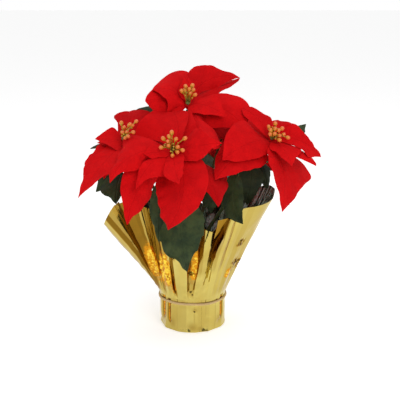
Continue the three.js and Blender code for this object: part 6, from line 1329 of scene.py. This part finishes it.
# ------------------------------------------------------------------ tie cord
def strands(build, centre, across, up, run, turns_per_mm, offset, radius, closed, sides=9):
    n = len(centre)
    ang = 2 * np.pi * np.arange(sides) / sides
    for s in range(2):
        th = run * turns_per_mm * 2 * np.pi + s * np.pi
        mid = centre + across * (offset * np.cos(th))[:, None] + up * (offset * np.sin(th))[:, None]
        T = np.roll(mid, -1, axis=0) - np.roll(mid, 1, axis=0)
        if not closed:
            T[0], T[-1] = mid[1] - mid[0], mid[-1] - mid[-2]
        T = unit(T)
        a = unit(across - T * (across * T).sum(1, keepdims=True))
        b = np.cross(T, a)
        fat = radius * (1 + 0.07 * noise(run / 1.7, s * 3.0 + 0.5, 61))
        ring = mid[:, None] + fat[:, None, None] * (np.cos(ang)[None, :, None] * a[:, None] + np.sin(ang)[None, :, None] * b[:, None])
        idx = np.arange(n * sides).reshape(n, sides)
        nx = np.roll(idx, -1, axis=1)
        lay = np.stack([np.tile(ang * 1.0, n), np.repeat(run, sides), np.zeros(n * sides)], 1)
        if closed:
            dn, dnn = np.roll(idx, -1, axis=0), np.roll(nx, -1, axis=0)
            build.add(ring, [quads(idx, nx, dnn, dn)], 0, lay=lay)
        else:
            k0, k1 = n * sides, n * sides + 1
            pts = np.concatenate([ring.reshape(-1, 3), [mid[0] - T[0] * 0.3], [mid[-1] + T[-1] * 0.3]])
            caps = np.concatenate([np.stack([np.full(sides, k0), nx[0], idx[0]], 1), np.stack([np.full(sides, k1), idx[-1], nx[-1]], 1)])
            build.add(pts, [quads(idx[:-1], nx[:-1], nx[1:], idx[1:]), caps], 0, lay=np.concatenate([lay, lay[:1], lay[-1:]]))


def frames(points):
    T = np.empty_like(points)
    T[1:-1] = points[2:] - points[:-2]
    T[0], T[-1] = points[1] - points[0], points[-1] - points[-2]
    T = unit(T)
    a = np.cross(T[0], [0.3, 0.9, 0.2])
    A = []
    for t in T:
        a = unit(a - t * (a @ t))
        A.append(a)
    A = np.array(A)
    return A, np.cross(T, A)


def spline(points, n):
    """A smooth open curve through points, with n samples."""
    p = np.array(points, float)
    p = np.concatenate([[2 * p[0] - p[1]], p, [2 * p[-1] - p[-2]]])
    t = np.linspace(0, len(p) - 3 - 1e-6, n)
    i = t.astype(int)
    f = (t - i)[:, None]
    a, b, c, d = p[i], p[i + 1], p[i + 2], p[i + 3]
    return 0.5 * (2 * b + (c - a) * f + (2 * a - 5 * b + 4 * c - d) * f**2 + (3 * b - a - 3 * c + d) * f**3)


build = Build()
n = 58 * 14
th = 2 * np.pi * np.arange(n) / n
rad = WRAP_R - 1.2 + CORD_R
centre = np.stack([rad * np.cos(th), rad * np.sin(th), TIE_Z + 0.45 * np.sin(3 * th + 1.0) + 0.3 * np.sin(7 * th)], 1)
across = np.stack([np.cos(th), np.sin(th), 0 * th], 1)
strands(build, centre, across, np.tile(UP, (n, 1)), th * rad, 58 / (2 * np.pi * rad), 1.00, 1.16, True)
# the knot at the back, with its two short ends
Y0 = rad + 1.6
for path, count in [
    ([[-7, rad - 0.2, 50.2], [-4, Y0 + 0.2, 51.4], [0.5, Y0 + 2.2, 52.6], [3.4, Y0 + 2.0, 50.6], [1.4, Y0 + 2.6, 47.9], [-2.6, Y0 + 2.2, 48.2], [-3.2, Y0 + 1.6, 51.2], [0.2, Y0 + 1.2, 53.2], [5.4, Y0 + 0.8, 51.4], [9.5, Y0 + 1.6, 46.5], [11.8, Y0 + 2.0, 40.4], [12.4, Y0 + 1.4, 33.0]], 150),
    ([[7, rad - 0.2, 49.8], [3.6, Y0 + 0.4, 48.6], [-0.4, Y0 + 1.0, 50.2], [-2.2, Y0 + 2.8, 52.0], [0.8, Y0 + 3.6, 51.6], [2.2, Y0 + 3.2, 49.0], [-1.8, Y0 + 2.6, 46.6], [-6.2, Y0 + 2.2, 43.5], [-9.0, Y0 + 1.9, 38.6], [-9.8, Y0 + 1.2, 31.5]], 130),
]:
    line = spline(path, count)
    run = np.concatenate([[0], np.cumsum(np.linalg.norm(np.diff(line, axis=0), axis=1))])
    A, B = frames(line)
    strands(build, line, A, B, run, 58 / (2 * np.pi * rad), 0.88, 1.02, False)
build.object("twisted_tie", [TWINE], ["tie_cord"], angle=60)

# ------------------------------------------------------------------ floor and light
floor_mesh = bpy.data.meshes.new("floor")
floor_mesh.from_pydata([(-9, -9, -0.0002), (9, -9, -0.0002), (9, 9, -0.0002), (-9, 9, -0.0002)], [], [(0, 1, 2, 3)])
floor = bpy.data.objects.new("floor", floor_mesh)
bpy.context.scene.collection.objects.link(floor)
m, t, b = new_material("floor")
b.inputs["Base Color"].default_value = (0.93, 0.93, 0.93, 1)
b.inputs["Roughness"].default_value = 0.95
b.inputs["Specular IOR Level"].default_value = 0.0
b.inputs["Emission Color"].default_value = (1, 1, 1, 1)
b.inputs["Emission Strength"].default_value = 0.45
floor_mesh.materials.append(m)


def area(name, place, aim, size, power, colour=(1, 1, 1)):
    d = bpy.data.lights.new(name, "AREA")
    d.shape = "RECTANGLE"
    d.size, d.size_y = size
    d.energy = power
    d.color = colour
    o = bpy.data.objects.new(name, d)
    o.location = place
    v = np.array(aim, float) - np.array(place, float)
    v = v / np.linalg.norm(v)
    o.rotation_euler = (math.acos(-v[2]), 0, math.atan2(v[0], -v[1]) if False else math.atan2(-v[0], v[1]))
    bpy.context.scene.collection.objects.link(o)
    return o


area("key", (0.65, -1.65, 1.30), (0, 0, 0.25), (1.2, 1.2), 16.5)
area("fill", (-1.55, -1.25, 0.95), (0, 0, 0.22), (1.0, 1.3), 5.5)
area("top", (0.1, 0.0, 1.9), (0, 0, 0.2), (1.6, 1.2), 6)

world = bpy.data.worlds.new("studio")
bpy.context.scene.world = world
world.use_nodes = True
t = world.node_tree
t.nodes.clear()
n = Nodes(t)
out = t.nodes.new("ShaderNodeOutputWorld")
tex = t.nodes.new("ShaderNodeTexCoord")
x, y, z = n.split(tex.outputs["Generated"])
room = t.nodes.new("ShaderNodeBackground")
seen = t.nodes.new("ShaderNodeBackground")
seen.inputs["Color"].default_value = (1, 1, 1, 1)
seen.inputs["Strength"].default_value = 1.0
ahead = n.ramp(y, -0.35, 0.45, 0.20, 1.0)
level = n.math("MAXIMUM", ahead, n.ramp(z, 0.5, 0.98, 0.0, 0.60))
grey = n.join(level, level, level)
n.link(grey, room.inputs["Color"])
room.inputs["Strength"].default_value = 0.85
path = t.nodes.new("ShaderNodeLightPath")
pick = t.nodes.new("ShaderNodeMixShader")
n.link(path.outputs["Is Camera Ray"], pick.inputs[0])
n.link(room.outputs[0], pick.inputs[1])
n.link(seen.outputs[0], pick.inputs[2])
n.link(pick.outputs[0], out.inputs[0])

scene = bpy.context.scene
scene.view_settings.view_transform = "Standard"
scene.view_settings.look = "None"
scene.view_settings.exposure = 0.0
scene.view_settings.gamma = 1.0
